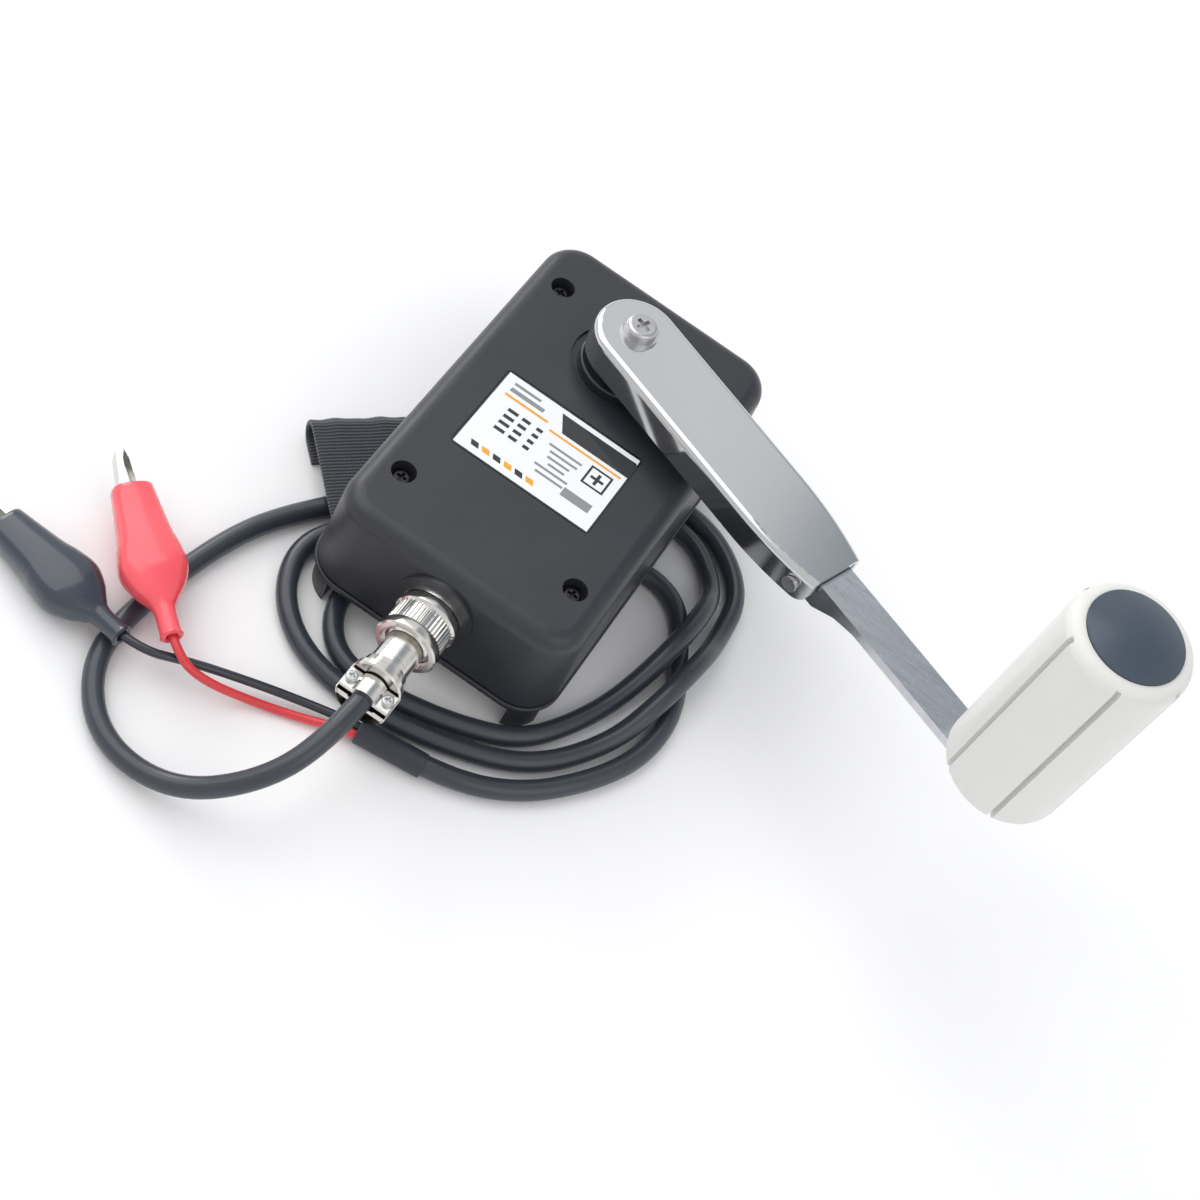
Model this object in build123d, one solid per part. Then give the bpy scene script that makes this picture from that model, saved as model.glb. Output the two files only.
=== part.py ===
from build123d import *
from math import acos, cos, degrees, pi, radians, sin, sqrt, tan
import os

os.makedirs("parts", exist_ok=True)

# Driving dimensions, millimetres. X across the housing, Y along it, Z up.
# The origin lies under the centre of the screw pattern, on the resting plane.
BODY_W = 78.0
BODY_L = 129.5
BODY_CORNER = 12.0
WALL = 2.5
DRAFT = 2.5
PLATE_UNDER = 10.0
SEAM_Z = PLATE_UNDER + WALL
FACE_Z = 44.5
FACE_INNER = FACE_Z - WALL
TOP_ROUND = 5.0
SCREW_X = 27.7
SCREW_Y = 43.75
FIT = 0.05
RUN = 0.04

# The crank runs on one shaft near the far end of the housing.
SHAFT_Y = 30.5
SHAFT_R = 4.0
ARM_ANGLE = -20.7
ARM_TOP = 61.0
ARM_DEPTH = 10.0
ARM_SHEET = 1.5
ARM_HALF = 12.8
ARM_END = 88.5
ARM_END_HALF = 9.3
ARM_TAPER_START = 60.0
PIN_S = 83.0
PIN_Z = 55.5
PIN_R = 2.0
BAR_TOP = 58.7
BAR_THICK = 3.0
BAR_W = 12.0
GRIP_S = 156.5
GRIP_R = 17.0
GRIP_LOW = 60.0
GRIP_RIM = 129.5
GRIP_TOP = 132.5
SPINDLE_R = 4.0

# Cable and leads.
CABLE_R = 3.0
WIRE_R = 1.25
PLUG_Z = 29.5


def save(piece, name):
    if not piece.solids():
        raise ValueError(name + " has no solid")
    piece.label = name
    export_step(piece, "parts/" + name + ".step")


def tube(outer, inner, low, high):
    body = Pos(0, 0, (low + high) / 2) * Cylinder(outer, high - low)
    if inner > 0:
        body -= Pos(0, 0, (low + high) / 2) * Cylinder(inner, high - low + 2)
    return body


def along_y(radius, start, end, z=PLUG_Z):
    return Pos(0, (start + end) / 2, z) * Rot(90, 0, 0) * Cylinder(radius, abs(end - start))


def block(x0, x1, y0, y1, z0, z1):
    middle = Pos((x0 + x1) / 2, (y0 + y1) / 2, (z0 + z1) / 2)
    return middle * Box(x1 - x0, y1 - y0, z1 - z0)


# Front cover: moulded shell with drafted walls, a rounded face edge, the recess
# for the hub ring, the label pocket and the four sunk screw wells.
outer = extrude(Pos(0, 0, SEAM_Z + 0.8) * RectangleRounded(BODY_W, BODY_L, BODY_CORNER),
                FACE_Z - SEAM_Z - 0.8, taper=DRAFT)
outer = fillet(outer.faces().sort_by(Axis.Z)[-1].edges(), TOP_ROUND)
inner = extrude(Pos(0, 0, SEAM_Z) * RectangleRounded(BODY_W - 2 * WALL, BODY_L - 2 * WALL,
                                                     BODY_CORNER - WALL),
                FACE_INNER - SEAM_Z, taper=DRAFT)
inner = fillet(inner.faces().sort_by(Axis.Z)[-1].edges(), 2.5)
WELL_FLOOR = 40.0
WELL_R = 3.6
WELL_WALL = 5.3
PILLAR_TOP = 37.0
PAD_OUT = -64.8
PAD_IN = -60.8
shell = outer - inner
shell += along_y(11.5, PAD_OUT, PAD_IN)
screw_places = [Pos(x, y, 0) for x in (-SCREW_X, SCREW_X) for y in (-SCREW_Y, SCREW_Y)]
for place in screw_places:
    shell += place * tube(WELL_WALL, 0, PILLAR_TOP, FACE_INNER + 0.5)
for place in screw_places:
    shell -= place * tube(WELL_R, 0, WELL_FLOOR, FACE_Z + 1)
    shell -= place * tube(1.7, 0, PILLAR_TOP - 1, WELL_FLOOR + 1)
HUB_RECESS_R = 15.0
HUB_FLOOR = 43.5
BUSH_R = 6.0
shaft_place = Pos(0, SHAFT_Y, 0)
shell -= shaft_place * tube(HUB_RECESS_R, 0, HUB_FLOOR, FACE_Z + 1)
shell -= shaft_place * tube(BUSH_R + FIT, 0, FACE_INNER - 1, FACE_Z + 1)
LABEL_W = 45.0
LABEL_L = 32.5
LABEL_X = -1.3
LABEL_Y = -9.8
LABEL_DEEP = 0.35
label_place = Pos(LABEL_X, LABEL_Y, FACE_Z - LABEL_DEEP)
shell -= label_place * extrude(RectangleRounded(LABEL_W + 0.5, LABEL_L + 0.5, 1.5), 2)
BARREL_R = 7.9
shell -= along_y(BARREL_R + FIT, PAD_OUT - 1, PAD_IN + 1)

# Gear train layout: three meshes step the crank up to the generator rotor.
MODULE_1 = 0.8
MODULE_2 = 0.7
MODULE_3 = 0.6
DRIVE_TEETH = 60
PINION_1_TEETH = 15
WHEEL_1_TEETH = 50
PINION_2_TEETH = 14
WHEEL_2_TEETH = 50
PINION_3_TEETH = 15
PRESSURE = 25.0
LEG_1 = radians(-113.6)
LEG_2 = radians(-27.0)
LEG_3 = radians(-114.0)
REACH_1 = MODULE_1 * (DRIVE_TEETH + PINION_1_TEETH) / 2
REACH_2 = MODULE_2 * (WHEEL_1_TEETH + PINION_2_TEETH) / 2
REACH_3 = MODULE_3 * (WHEEL_2_TEETH + PINION_3_TEETH) / 2
AXLE_1 = (REACH_1 * cos(LEG_1), SHAFT_Y + REACH_1 * sin(LEG_1))
AXLE_2 = (AXLE_1[0] + REACH_2 * cos(LEG_2), AXLE_1[1] + REACH_2 * sin(LEG_2))
ROTOR = (AXLE_2[0] + REACH_3 * cos(LEG_3), AXLE_2[1] + REACH_3 * sin(LEG_3))
AXLE_R = 1.5
DRIVE_LOW = 37.0
DRIVE_HIGH = 41.4
WHEEL_1_LOW = 32.5
WHEEL_1_HIGH = 36.0
WHEEL_2_LOW = 28.5
WHEEL_2_HIGH = 31.6
AXLE_BASE = 26.0
shell -= Pos(AXLE_1[0], AXLE_1[1], 0) * tube(AXLE_R + 0.02, 0, FACE_INNER - 1, FACE_INNER + 1.5)
shell += Pos(AXLE_2[0], AXLE_2[1], 0) * tube(3.2, 0, WHEEL_1_HIGH + 0.8, FACE_INNER + 0.5)
shell -= Pos(AXLE_2[0], AXLE_2[1], 0) * tube(AXLE_R + 0.02, 0, WHEEL_1_HIGH, FACE_INNER + 1.0)
save(shell, "front_cover")

# Rear cover: flat back on four corner feet, so that the hand strap and the loops
# of cable pass beneath; rim bead at the seam, spigot, screw pillars, bosses.
FOOT_X = 30.0
FOOT_Y = 56.0
BEAD = 0.6
SPIGOT = 1.4
BEARING_TOP = 21.0
GEAR_PLATE_LOW = 26.0
GEAR_PLATE = 1.5
POST_X = 30.0
POST_LOW_Y = -5.0
POST_HIGH_Y = 20.0
POST_R = 3.2
BOARD_LOW = 16.0
STRAP_BAR_Y = -57.5
rear = extrude(Pos(0, 0, PLATE_UNDER) * RectangleRounded(BODY_W, BODY_L, BODY_CORNER), WALL)
bead = extrude(Pos(0, 0, SEAM_Z - 1.5) * RectangleRounded(BODY_W + 2 * BEAD, BODY_L + 2 * BEAD,
                                                          BODY_CORNER + BEAD),
               1.5)
rear += fillet(bead.edges().filter_by(GeomType.LINE, reverse=False).filter_by(Axis.Z, reverse=True)
               + bead.edges().filter_by(GeomType.CIRCLE), 0.5)
low_print = extrude(RectangleRounded(BODY_W - 2.4, BODY_L - 2.4, BODY_CORNER - 1.2), PLATE_UNDER + 0.5)
for sx in (-1, 1):
    for sy in (-1, 1):
        corner = Pos(sx * (FOOT_X + 10), sy * (FOOT_Y + 10), 5) * Box(20, 20, 12)
        rear += low_print & corner
spigot = extrude(Pos(0, 0, SEAM_Z - 0.5) * RectangleRounded(BODY_W - 2 * WALL - 0.3,
                                                            BODY_L - 2 * WALL - 0.3,
                                                       BODY_CORNER - WALL - 0.15), 3.0)
spigot -= extrude(Pos(0, 0, SEAM_Z - 1) * RectangleRounded(BODY_W - 2 * WALL - 2 * SPIGOT,
                                                           BODY_L - 2 * WALL - 2 * SPIGOT,
                                                      BODY_CORNER - WALL - SPIGOT), 5.0)
rear += spigot
for place in screw_places:
    rear += place * tube(4.0, 0, SEAM_Z - 0.5, PILLAR_TOP)
post_places = [Pos(x, y, 0) for x in (-POST_X, POST_X) for y in (POST_LOW_Y, POST_HIGH_Y)]
for place in post_places:
    rear += place * tube(POST_R, 0, SEAM_Z - 0.5, GEAR_PLATE_LOW)
    rear -= place * tube(1.25 + FIT, 0, 18.0, GEAR_PLATE_LOW + 1)
rear += shaft_place * tube(8.0, 0, SEAM_Z - 0.5, BEARING_TOP)
rear -= shaft_place * tube(BUSH_R + FIT, 0, 14.5, BEARING_TOP + 1)
board_posts = [Pos(x, y, 0) for x in (-20.0, 20.0) for y in (1.0, 16.0)]
for place in board_posts:
    rear += place * tube(2.2, 0, SEAM_Z - 0.5, BOARD_LOW)
    rear += place * tube(0.9, 0, BOARD_LOW - 0.5, BOARD_LOW + 2.4)
for place in screw_places:
    rear -= place * tube(1.5 + FIT, 0, 20.0, PILLAR_TOP + 1)
strap_screw_places = [Pos(x, STRAP_BAR_Y, 0) for x in (-15.0, 15.0)]
for place in strap_screw_places:
    rear += place * tube(3.0, 0, SEAM_Z - 0.5, 18.0)
    rear -= place * tube(1.25 + FIT, 0, PLATE_UNDER - 1, 16.5)
save(rear, "rear_cover")

# Rating label, a thin stuck-on plate in the pocket of the face.
save(label_place * extrude(RectangleRounded(LABEL_W, LABEL_L, 1.3), LABEL_DEEP - 0.03), "rating_label")


# Cross-recessed pan head screw, its seat at z = 0 and its shank going down.
def pan_screw(head_r, head_h, shank_r, length, cross):
    head = tube(head_r, 0, 0, head_h)
    head = fillet(head.edges().sort_by(Axis.Z)[-1:], head_h * 0.45)
    screw = head + tube(shank_r, 0, -length, 0.2)
    for turn in (0, 90):
        screw -= Pos(0, 0, head_h) * Rot(0, 0, turn) * Box(cross, cross * 0.28, head_h)
    return screw


cover_screw = pan_screw(2.75, 2.0, 1.5, 18.0, 3.0)
save(Compound(children=[place * Pos(0, 0, WELL_FLOOR) * cover_screw for place in screw_places]),
     "cover_screws")

# Hub ring, a stepped moulded collar that holds the front bush in the face.
ring = tube(12.8, 5.0, HUB_FLOOR, 47.0) + tube(10.2, 5.0, 46.5, 48.6)
ring = fillet(ring.edges().filter_by(GeomType.CIRCLE).group_by(Axis.Z)[-1].sort_by(SortBy.RADIUS)[-1:], 0.8)
ring = fillet(ring.edges().filter_by(GeomType.CIRCLE).filter_by(lambda e: abs(e.radius - 12.8) < 0.01
                                                                  and e.center().Z > 46)[0:1], 0.8)
ring -= tube(8.0 + FIT, 0, HUB_FLOOR - 1, HUB_FLOOR + 1.5 + FIT)
save(shaft_place * ring, "hub_ring")
front_bush = tube(BUSH_R, 0, FACE_INNER - 0.3, HUB_FLOOR + 0.5) + tube(8.0, 0, HUB_FLOOR, HUB_FLOOR + 1.5)
front_bush -= tube(SHAFT_R + RUN, 0, 30, 50)
save(shaft_place * front_bush, "front_bearing")
rear_bush = tube(BUSH_R, SHAFT_R + RUN, 14.6, BEARING_TOP) + tube(7.5, SHAFT_R + RUN, BEARING_TOP,
                                                                  BEARING_TOP + 1.2)
save(shaft_place * rear_bush, "rear_bearing")

# Crank shaft with two flats at the top for the arm and a tapped end.
FLAT_HALF = 3.2
shaft = tube(SHAFT_R, 0, 15.0, ARM_TOP - ARM_SHEET)
for side in (-1, 1):
    shaft -= Rot(0, 0, ARM_ANGLE) * Pos(0, side * (FLAT_HALF + 2), 0) * block(-6, 6, -2, 2,
                                                                              ARM_TOP - 11.8, 62)
shaft -= tube(2.5, 0, 50.0, 62.0)
shaft += tube(6.5, 0, 35.6, DRIVE_LOW)
save(shaft_place * shaft, "crank_shaft")


# Spur gear outline with straight-sided involute teeth, one tooth centred at `phase`.
def gear_outline(module, teeth, phase):
    pitch = module * teeth / 2
    base = pitch * cos(radians(PRESSURE))
    tip = pitch + module
    root = pitch - 1.25 * module
    half = (pi * module / 2 - 0.14 * module) / 2 / pitch

    def spread(radius):
        at = acos(min(1.0, base / radius))
        return half + (tan(radians(PRESSURE)) - radians(PRESSURE)) - (tan(at) - at)

    flank = [(root, spread(max(root, base))), (max(root, base) + 0.02, spread(max(root, base) + 0.02)),
             (pitch, half), (tip, spread(tip))]
    points = []
    for tooth in range(teeth):
        centre = radians(phase) + 2 * pi * tooth / teeth
        for radius, angle in flank:
            points.append((radius * cos(centre - angle), radius * sin(centre - angle)))
        for radius, angle in reversed(flank):
            points.append((radius * cos(centre + angle), radius * sin(centre + angle)))
    return Polygon(*points, align=None)


# The gap of the follower faces the tooth of its driver.
def mesh_phase(leg, driver_teeth, driver_phase, follower_teeth):
    share = (driver_phase - degrees(leg)) * driver_teeth / 360
    return degrees(leg) + 180 + (0.5 - share) * 360 / follower_teeth


PHASE_1 = mesh_phase(LEG_1, DRIVE_TEETH, 0.0, PINION_1_TEETH)
PHASE_2 = mesh_phase(LEG_2, WHEEL_1_TEETH, PHASE_1, PINION_2_TEETH)
PHASE_3 = mesh_phase(LEG_3, WHEEL_2_TEETH, PHASE_2, PINION_3_TEETH)
drive = extrude(gear_outline(MODULE_1, DRIVE_TEETH, 0.0), DRIVE_HIGH - DRIVE_LOW)
drive = Pos(0, 0, DRIVE_LOW) * drive
drive -= tube(21.0, 10.0, DRIVE_HIGH - 1.4, DRIVE_HIGH + 1)
for spoke in range(6):
    drive -= Rot(0, 0, 60 * spoke) * Pos(15.5, 0, 0) * tube(3.4, 0, 30, 50)
drive -= tube(SHAFT_R + 0.02, 0, 30, 50)
save(shaft_place * drive, "drive_gear")
AXLE_RUN = AXLE_R + RUN
first = Pos(0, 0, WHEEL_1_LOW) * extrude(gear_outline(MODULE_2, WHEEL_1_TEETH, PHASE_1),
                                         WHEEL_1_HIGH - WHEEL_1_LOW)
first += tube(4.2, 0, WHEEL_1_HIGH - 0.5, DRIVE_LOW + 0.2)
first += Pos(0, 0, DRIVE_LOW) * extrude(gear_outline(MODULE_1, PINION_1_TEETH, PHASE_1),
                                        DRIVE_HIGH - DRIVE_LOW)
first += tube(3.4, 0, GEAR_PLATE_LOW + GEAR_PLATE + 0.1, WHEEL_1_LOW + 0.5)
first -= tube(AXLE_RUN, 0, 20, 50)
save(Pos(AXLE_1[0], AXLE_1[1], 0) * first, "first_gear")
second = Pos(0, 0, WHEEL_2_LOW) * extrude(gear_outline(MODULE_3, WHEEL_2_TEETH, PHASE_2),
                                          WHEEL_2_HIGH - WHEEL_2_LOW)
second += Pos(0, 0, WHEEL_2_HIGH - 0.3) * extrude(gear_outline(MODULE_2, PINION_2_TEETH, PHASE_2),
                                              WHEEL_1_HIGH - WHEEL_2_HIGH + 0.3)
second += tube(3.4, 0, GEAR_PLATE_LOW + GEAR_PLATE + 0.1, WHEEL_2_LOW + 0.5)
second += tube(3.2, 0, WHEEL_1_HIGH - 0.5, WHEEL_1_HIGH + 0.5)
second -= tube(AXLE_RUN, 0, 20, 50)
save(Pos(AXLE_2[0], AXLE_2[1], 0) * second, "second_gear")
axles = [Pos(AXLE_1[0], AXLE_1[1], 0) * tube(AXLE_R, 0, AXLE_BASE, FACE_INNER + 1.4),
         Pos(AXLE_2[0], AXLE_2[1], 0) * tube(AXLE_R, 0, AXLE_BASE, FACE_INNER + 0.9)]
save(Compound(children=axles), "gear_axles")

# Generator: outer rotor with a magnet ring over a wound nine-tooth stator.
rotor_place = Pos(ROTOR[0], ROTOR[1], 0)
ROTOR_SHAFT_R = 1.5
pinion = Pos(0, 0, WHEEL_2_LOW) * extrude(gear_outline(MODULE_3, PINION_3_TEETH, PHASE_3),
                                          WHEEL_2_HIGH - WHEEL_2_LOW)
pinion += tube(3.0, 0, WHEEL_2_LOW - 0.8, WHEEL_2_LOW + 0.2)
pinion -= tube(ROTOR_SHAFT_R + 0.01, 0, 20, 40)
save(rotor_place * pinion, "generator_pinion")
save(rotor_place * tube(ROTOR_SHAFT_R, 0, 13.6, 32.0), "rotor_shaft")
BELL_R = 20.2
bell = tube(BELL_R, 0, 15.6, 24.9) - tube(BELL_R - 1.2, 0, 14, 23.5)
for hole in range(6):
    bell -= Rot(0, 0, 60 * hole) * Pos(11, 0, 0) * tube(3.0, 0, 22, 26)
bell += tube(4.0, 0, 22.8, 25.6)
bell -= tube(ROTOR_SHAFT_R + 0.01, 0, 14, 30)
save(rotor_place * bell, "rotor_bell")
MAGNETS = 12
magnet_ring = tube(BELL_R - 1.2 - 0.02, BELL_R - 2.4, 16.0, 23.3)
magnets = []
for pole in range(MAGNETS):
    wedge = Rot(0, 0, 360 / MAGNETS * pole) * Pos(18.5, 0, 19.6) * Box(6, 8.6, 9)
    magnets.append(rotor_place * (magnet_ring & wedge))
save(Compound(children=magnets), "rotor_magnets")
STATOR_R = 17.0
TEETH = 9
core = tube(8.0, 4.6, 16.6, 22.0)
for tooth in range(TEETH):
    limb = block(7.0, 15.6, -1.5, 1.5, 16.6, 22.0)
    shoe = tube(STATOR_R, 15.2, 16.6, 22.0) & block(10, 18, -4.6, 4.6, 15, 23)
    core += Rot(0, 0, 360 / TEETH * tooth) * (limb + shoe)
save(rotor_place * core, "stator_core")
winding = block(8.6, 14.8, -2.55, 2.55, 15.7, 22.9) - block(7.0, 16.0, -1.55, 1.55, 16.55, 22.05)
winding = fillet(winding.edges().filter_by(Axis.X).group_by(SortBy.LENGTH)[-1].filter_by(
    lambda e: abs(e.center().Y) > 2.3), 0.8)
windings = [rotor_place * Rot(0, 0, 360 / TEETH * tooth) * winding for tooth in range(TEETH)]
save(Compound(children=windings), "stator_windings")
base = tube(12.0, 3.5, SEAM_Z, 14.2) + tube(4.6, 3.5, 14.0, 22.6) + tube(5.6, 3.5, 14.0, 16.6)
save(rotor_place * base, "stator_base")
bushes = [rotor_place * tube(3.5, ROTOR_SHAFT_R + RUN, SEAM_Z + 0.2, 16.5),
          rotor_place * tube(3.5, ROTOR_SHAFT_R + RUN, 18.8, 22.6)]
save(Compound(children=bushes), "rotor_bearings")

# Gear plate: steel plate on four posts that carries the axles over the generator.
plate = extrude(Pos(0, 5.5, GEAR_PLATE_LOW) * RectangleRounded(68.0, 42.0, 4.0), GEAR_PLATE)
plate += extrude(Pos(0, -13.0, GEAR_PLATE_LOW) * RectangleRounded(30.0, 40.0, 4.0), GEAR_PLATE)
plate -= shaft_place * tube(9.5, 0, 20, 30)
plate -= rotor_place * tube(5.0, 0, 20, 30)
plate -= Pos(-21.0, 13.0, 0) * tube(5.0, 0, 20, 30)
plate -= Pos(21.0, 13.0, 0) * tube(5.0, 0, 20, 30)
for place in post_places:
    plate -= place * tube(1.35, 0, 20, 30)
for axle in (AXLE_1, AXLE_2):
    plate -= Pos(axle[0], axle[1], 0) * tube(AXLE_R, 0, 20, 30)
save(plate, "gear_plate")
plate_screw = pan_screw(2.4, 1.6, 1.25, 8.0, 2.4)
plate_screws = [place * Pos(0, 0, GEAR_PLATE_LOW + GEAR_PLATE) * plate_screw for place in post_places]
save(Compound(children=plate_screws), "plate_screws")

# Rectifier and regulator board on four staked posts, with its parts.
board = extrude(Pos(0, 8.5, BOARD_LOW) * RectangleRounded(46.0, 19.5, 1.0), 1.6)
for place in board_posts:
    board -= place * tube(0.95, 0, 10, 30)
save(board, "regulator_board")
BOARD_TOP = BOARD_LOW + 1.6
components = []
for x, y, radius, height in ((-12.5, 12.0, 3.15, 7.0), (-5.0, 12.5, 3.15, 7.0), (14.0, 11.5, 2.5, 5.5)):
    components.append(Pos(x, y, 0) * fillet(tube(radius, 0, BOARD_TOP, BOARD_TOP + height).edges()
                                        .filter_by(GeomType.CIRCLE).sort_by(Axis.Z)[-1:], 0.5))
components.append(block(-15.5, -8.5, 1.5, 6.5, BOARD_TOP, BOARD_TOP + 2.4))
components.append(fillet(block(-3.0, 6.0, -0.3, 8.2, BOARD_TOP,
                               BOARD_TOP + 4.6).edges().filter_by(Axis.Z), 2.0))
components.append(block(9.0, 17.0, 1.2, 6.4, BOARD_TOP, BOARD_TOP + 1.8))
components.append(block(3.0, 8.0, 10.5, 16.5, BOARD_TOP, BOARD_TOP + 2.2))
save(Compound(children=components), "board_components")

# Panel socket in the end wall: shouldered barrel, nut inside, pin insert.
FLANGE_R = 9.1
barrel = along_y(BARREL_R, -57.0, -76.0) + along_y(FLANGE_R, PAD_OUT, PAD_OUT - 2.0)
barrel -= along_y(6.5, -60.0, -78.0)
barrel -= along_y(5.6, -50.0, -70.0)
barrel = chamfer(barrel.edges().filter_by(GeomType.CIRCLE).filter_by(
    lambda e: abs(e.radius - BARREL_R) < 0.01 and e.center().Y < -75), 0.5)
save(barrel, "panel_socket")
nut = Pos(0, (PAD_IN - 57.9) / 2, PLUG_Z) * Rot(90, 0,
                                                0) * extrude(RegularPolygon(9.6, 6, major_radius=False),
                                                             1.35,
                                                              both=True)
nut -= along_y(BARREL_R + 0.01, -50, -70)
save(nut, "socket_nut")
pin_ring = [(3.2 * cos(radians(a)), 3.2 * sin(radians(a))) for a in (90, 210, 330)]
socket_core = along_y(5.6, -55.0, -60.0) + along_y(6.5, -60.0, -66.5)
for px, pz in pin_ring:
    pin = Pos(px, -62.5, PLUG_Z + pz) * Rot(90, 0, 0) * Cylinder(0.8, 20.0)
    socket_core += pin
save(socket_core, "socket_insert")

# Plug: knurled coupling ring, polished sleeve, insert and saddle cable clamp.
RING_START = -67.1
RING_END = -81.0
RING_R = 9.25
KNURLS = 44
rim = []
for step in range(KNURLS):
    for part, radius in ((0.0, RING_R), (0.28, RING_R), (0.5, RING_R - 0.45), (0.78, RING_R - 0.45)):
        angle = 2 * pi * (step + part) / KNURLS
        rim.append((radius * cos(angle), radius * sin(angle)))
knurl = extrude(Polygon(*rim, align=None), 9.6)
knurl = Pos(0, RING_START - 1.8, PLUG_Z) * Rot(90, 0, 0) * knurl
coupling = knurl + along_y(RING_R - 0.2, RING_START, RING_START - 2.0) + along_y(RING_R - 0.2,
                                                                                 RING_END + 2.6, RING_END)
coupling -= along_y(BARREL_R + 0.1, RING_START + 1, -77.0)
coupling -= along_y(7.3 + RUN, -70.0, RING_END - 1)
for turn in (0, 180):
    coupling -= Pos(0, 0, PLUG_Z) * Rot(0, turn, 0) * block(-1.2, 1.2, RING_START - 1.2, RING_START + 1,
                                                            8.2, 10)
save(coupling, "coupling_ring")
sleeve = along_y(6.4, -69.5, -76.2) + along_y(7.6, -76.2, -77.0) + along_y(7.3, -76.2, -82.0)
sleeve += along_y(8.4, -81.3, -84.0) + along_y(7.9, -84.0, -92.5)
sleeve += along_y(6.4, -92.0, -94.0)
sleeve -= along_y(5.4, -68.0, -91.0)
sleeve -= along_y(CABLE_R + FIT, -90.0, -95.0)
sleeve += block(-5.8, 5.8, -101.0, -93.0, PLUG_Z - 6.2, PLUG_Z - 3.4)
sleeve = sleeve - along_y(CABLE_R + FIT, -92.0, -102.0)
save(sleeve, "plug_sleeve")
plug_core = along_y(5.4, -70.5, -78.0)
for px, pz in pin_ring:
    plug_core -= Pos(px, -70.0, PLUG_Z + pz) * Rot(90, 0, 0) * Cylinder(0.85, 6.0)
    plug_core += Pos(px, -80.0, PLUG_Z + pz) * Rot(90, 0, 0) * Cylinder(0.7, 5.0)
save(plug_core, "plug_insert")
saddle = along_y(4.25, -94.6, -100.4) - along_y(CABLE_R + FIT, -90, -105)
saddle = saddle & block(-8, 8, -102, -90, PLUG_Z + 0.6, PLUG_Z + 8)
for side in (-1, 1):
    saddle += block(min(side * 3.2, side * 7.4), max(side * 3.2, side * 7.4), -100.4, -94.6, PLUG_Z + 0.6,
                    PLUG_Z + 1.9)
CLAMP_X = 5.6
lower = block(-7.4, 7.4, -100.4, -94.6, PLUG_Z - 3.4, PLUG_Z - 2.0) - along_y(CABLE_R + FIT, -90, -105)
for side in (-1, 1):
    lower += block(min(side * 3.9, side * 7.4), max(side * 3.9, side * 7.4), -100.4, -94.6, PLUG_Z - 3.4,
                   PLUG_Z + 0.6)
clamp = saddle + lower
for side in (-1, 1):
    clamp -= Pos(side * CLAMP_X, -97.5, 0) * tube(0.8, 0, PLUG_Z - 2.2, PLUG_Z + 3)
clamp -= along_y(CABLE_R + FIT, -90, -105)
save(clamp, "cable_clamp")
clamp_screw = pan_screw(1.7, 1.2, 0.78, 3.6, 1.8)
save(Compound(children=[Pos(side * CLAMP_X, -97.5, PLUG_Z + 1.9) * clamp_screw for side in (-1, 1)]),
     "clamp_screws")

# Crank arm: pressed channel of polished sheet, open toward the housing, its wall
# running round the hub end and stopping square at the outer end.
crank_place = Pos(0, SHAFT_Y, 0) * Rot(0, 0, ARM_ANGLE)
TAPER_R = ((ARM_END - ARM_TAPER_START) ** 2 + (ARM_HALF - ARM_END_HALF) ** 2) / 2 / (ARM_HALF -
                                                                                     ARM_END_HALF)


def arm_outline(inset, end):
    half = ARM_HALF - inset
    bend = TAPER_R - inset
    tip = half - bend + sqrt(bend ** 2 - (end - ARM_TAPER_START) ** 2)
    mid_s = (ARM_TAPER_START + end) / 2
    mid = half - bend + sqrt(bend ** 2 - (mid_s - ARM_TAPER_START) ** 2)
    edge = Line((0, -half), (ARM_TAPER_START, -half))
    edge += ThreePointArc((ARM_TAPER_START, -half), (mid_s, -mid), (end, -tip))
    edge += Line((end, -tip), (end, tip))
    edge += ThreePointArc((end, tip), (mid_s, mid), (ARM_TAPER_START, half))
    edge += Line((ARM_TAPER_START, half), (0, half))
    edge += ThreePointArc((0, half), (-half, 0), (0, -half))
    return make_face(edge)


arm = Pos(0, 0, ARM_TOP - ARM_DEPTH) * extrude(arm_outline(0, ARM_END), ARM_DEPTH)
arm = fillet(arm.edges().group_by(Axis.Z)[-1].sort_by(Axis.X)[:-1], 2.0)
hollow = Pos(0, 0, ARM_TOP - ARM_DEPTH - 1) * extrude(arm_outline(ARM_SHEET, ARM_END + 4),
                                                      ARM_DEPTH - ARM_SHEET + 1)
arm -= hollow
arm -= tube(2.7, 0, 50, 70)
arm -= Pos(PIN_S, 0, PIN_Z) * Rot(90, 0, 0) * Cylinder(PIN_R, 40)
corner_cut = block(ARM_END - 4, ARM_END + 2, -15, 15, ARM_TOP - ARM_DEPTH - 1, ARM_TOP - ARM_DEPTH + 4)
corner_cut -= Pos(ARM_END - 4, 0, ARM_TOP - ARM_DEPTH + 4) * Rot(90, 0, 0) * Cylinder(4, 40)
arm -= corner_cut
save(crank_place * arm, "crank_arm")

# Hub block under the plate, driven by the flats of the shaft.
hub = tube(9.0, 0, 49.2, ARM_TOP - ARM_SHEET)
hub -= tube(SHAFT_R + 0.02, 0, 40, 70) & block(-6, 6, -3.22, 3.22, 40, 70)
save(crank_place * hub, "arm_hub")
save(crank_place * tube(5.5, 2.6, ARM_TOP, ARM_TOP + 1.0), "arm_washer")
arm_screw = Pos(0, 0, ARM_TOP + 1.0) * pan_screw(4.6, 2.6, 2.48, 10.0, 4.6)
save(crank_place * arm_screw, "arm_screw")

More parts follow.
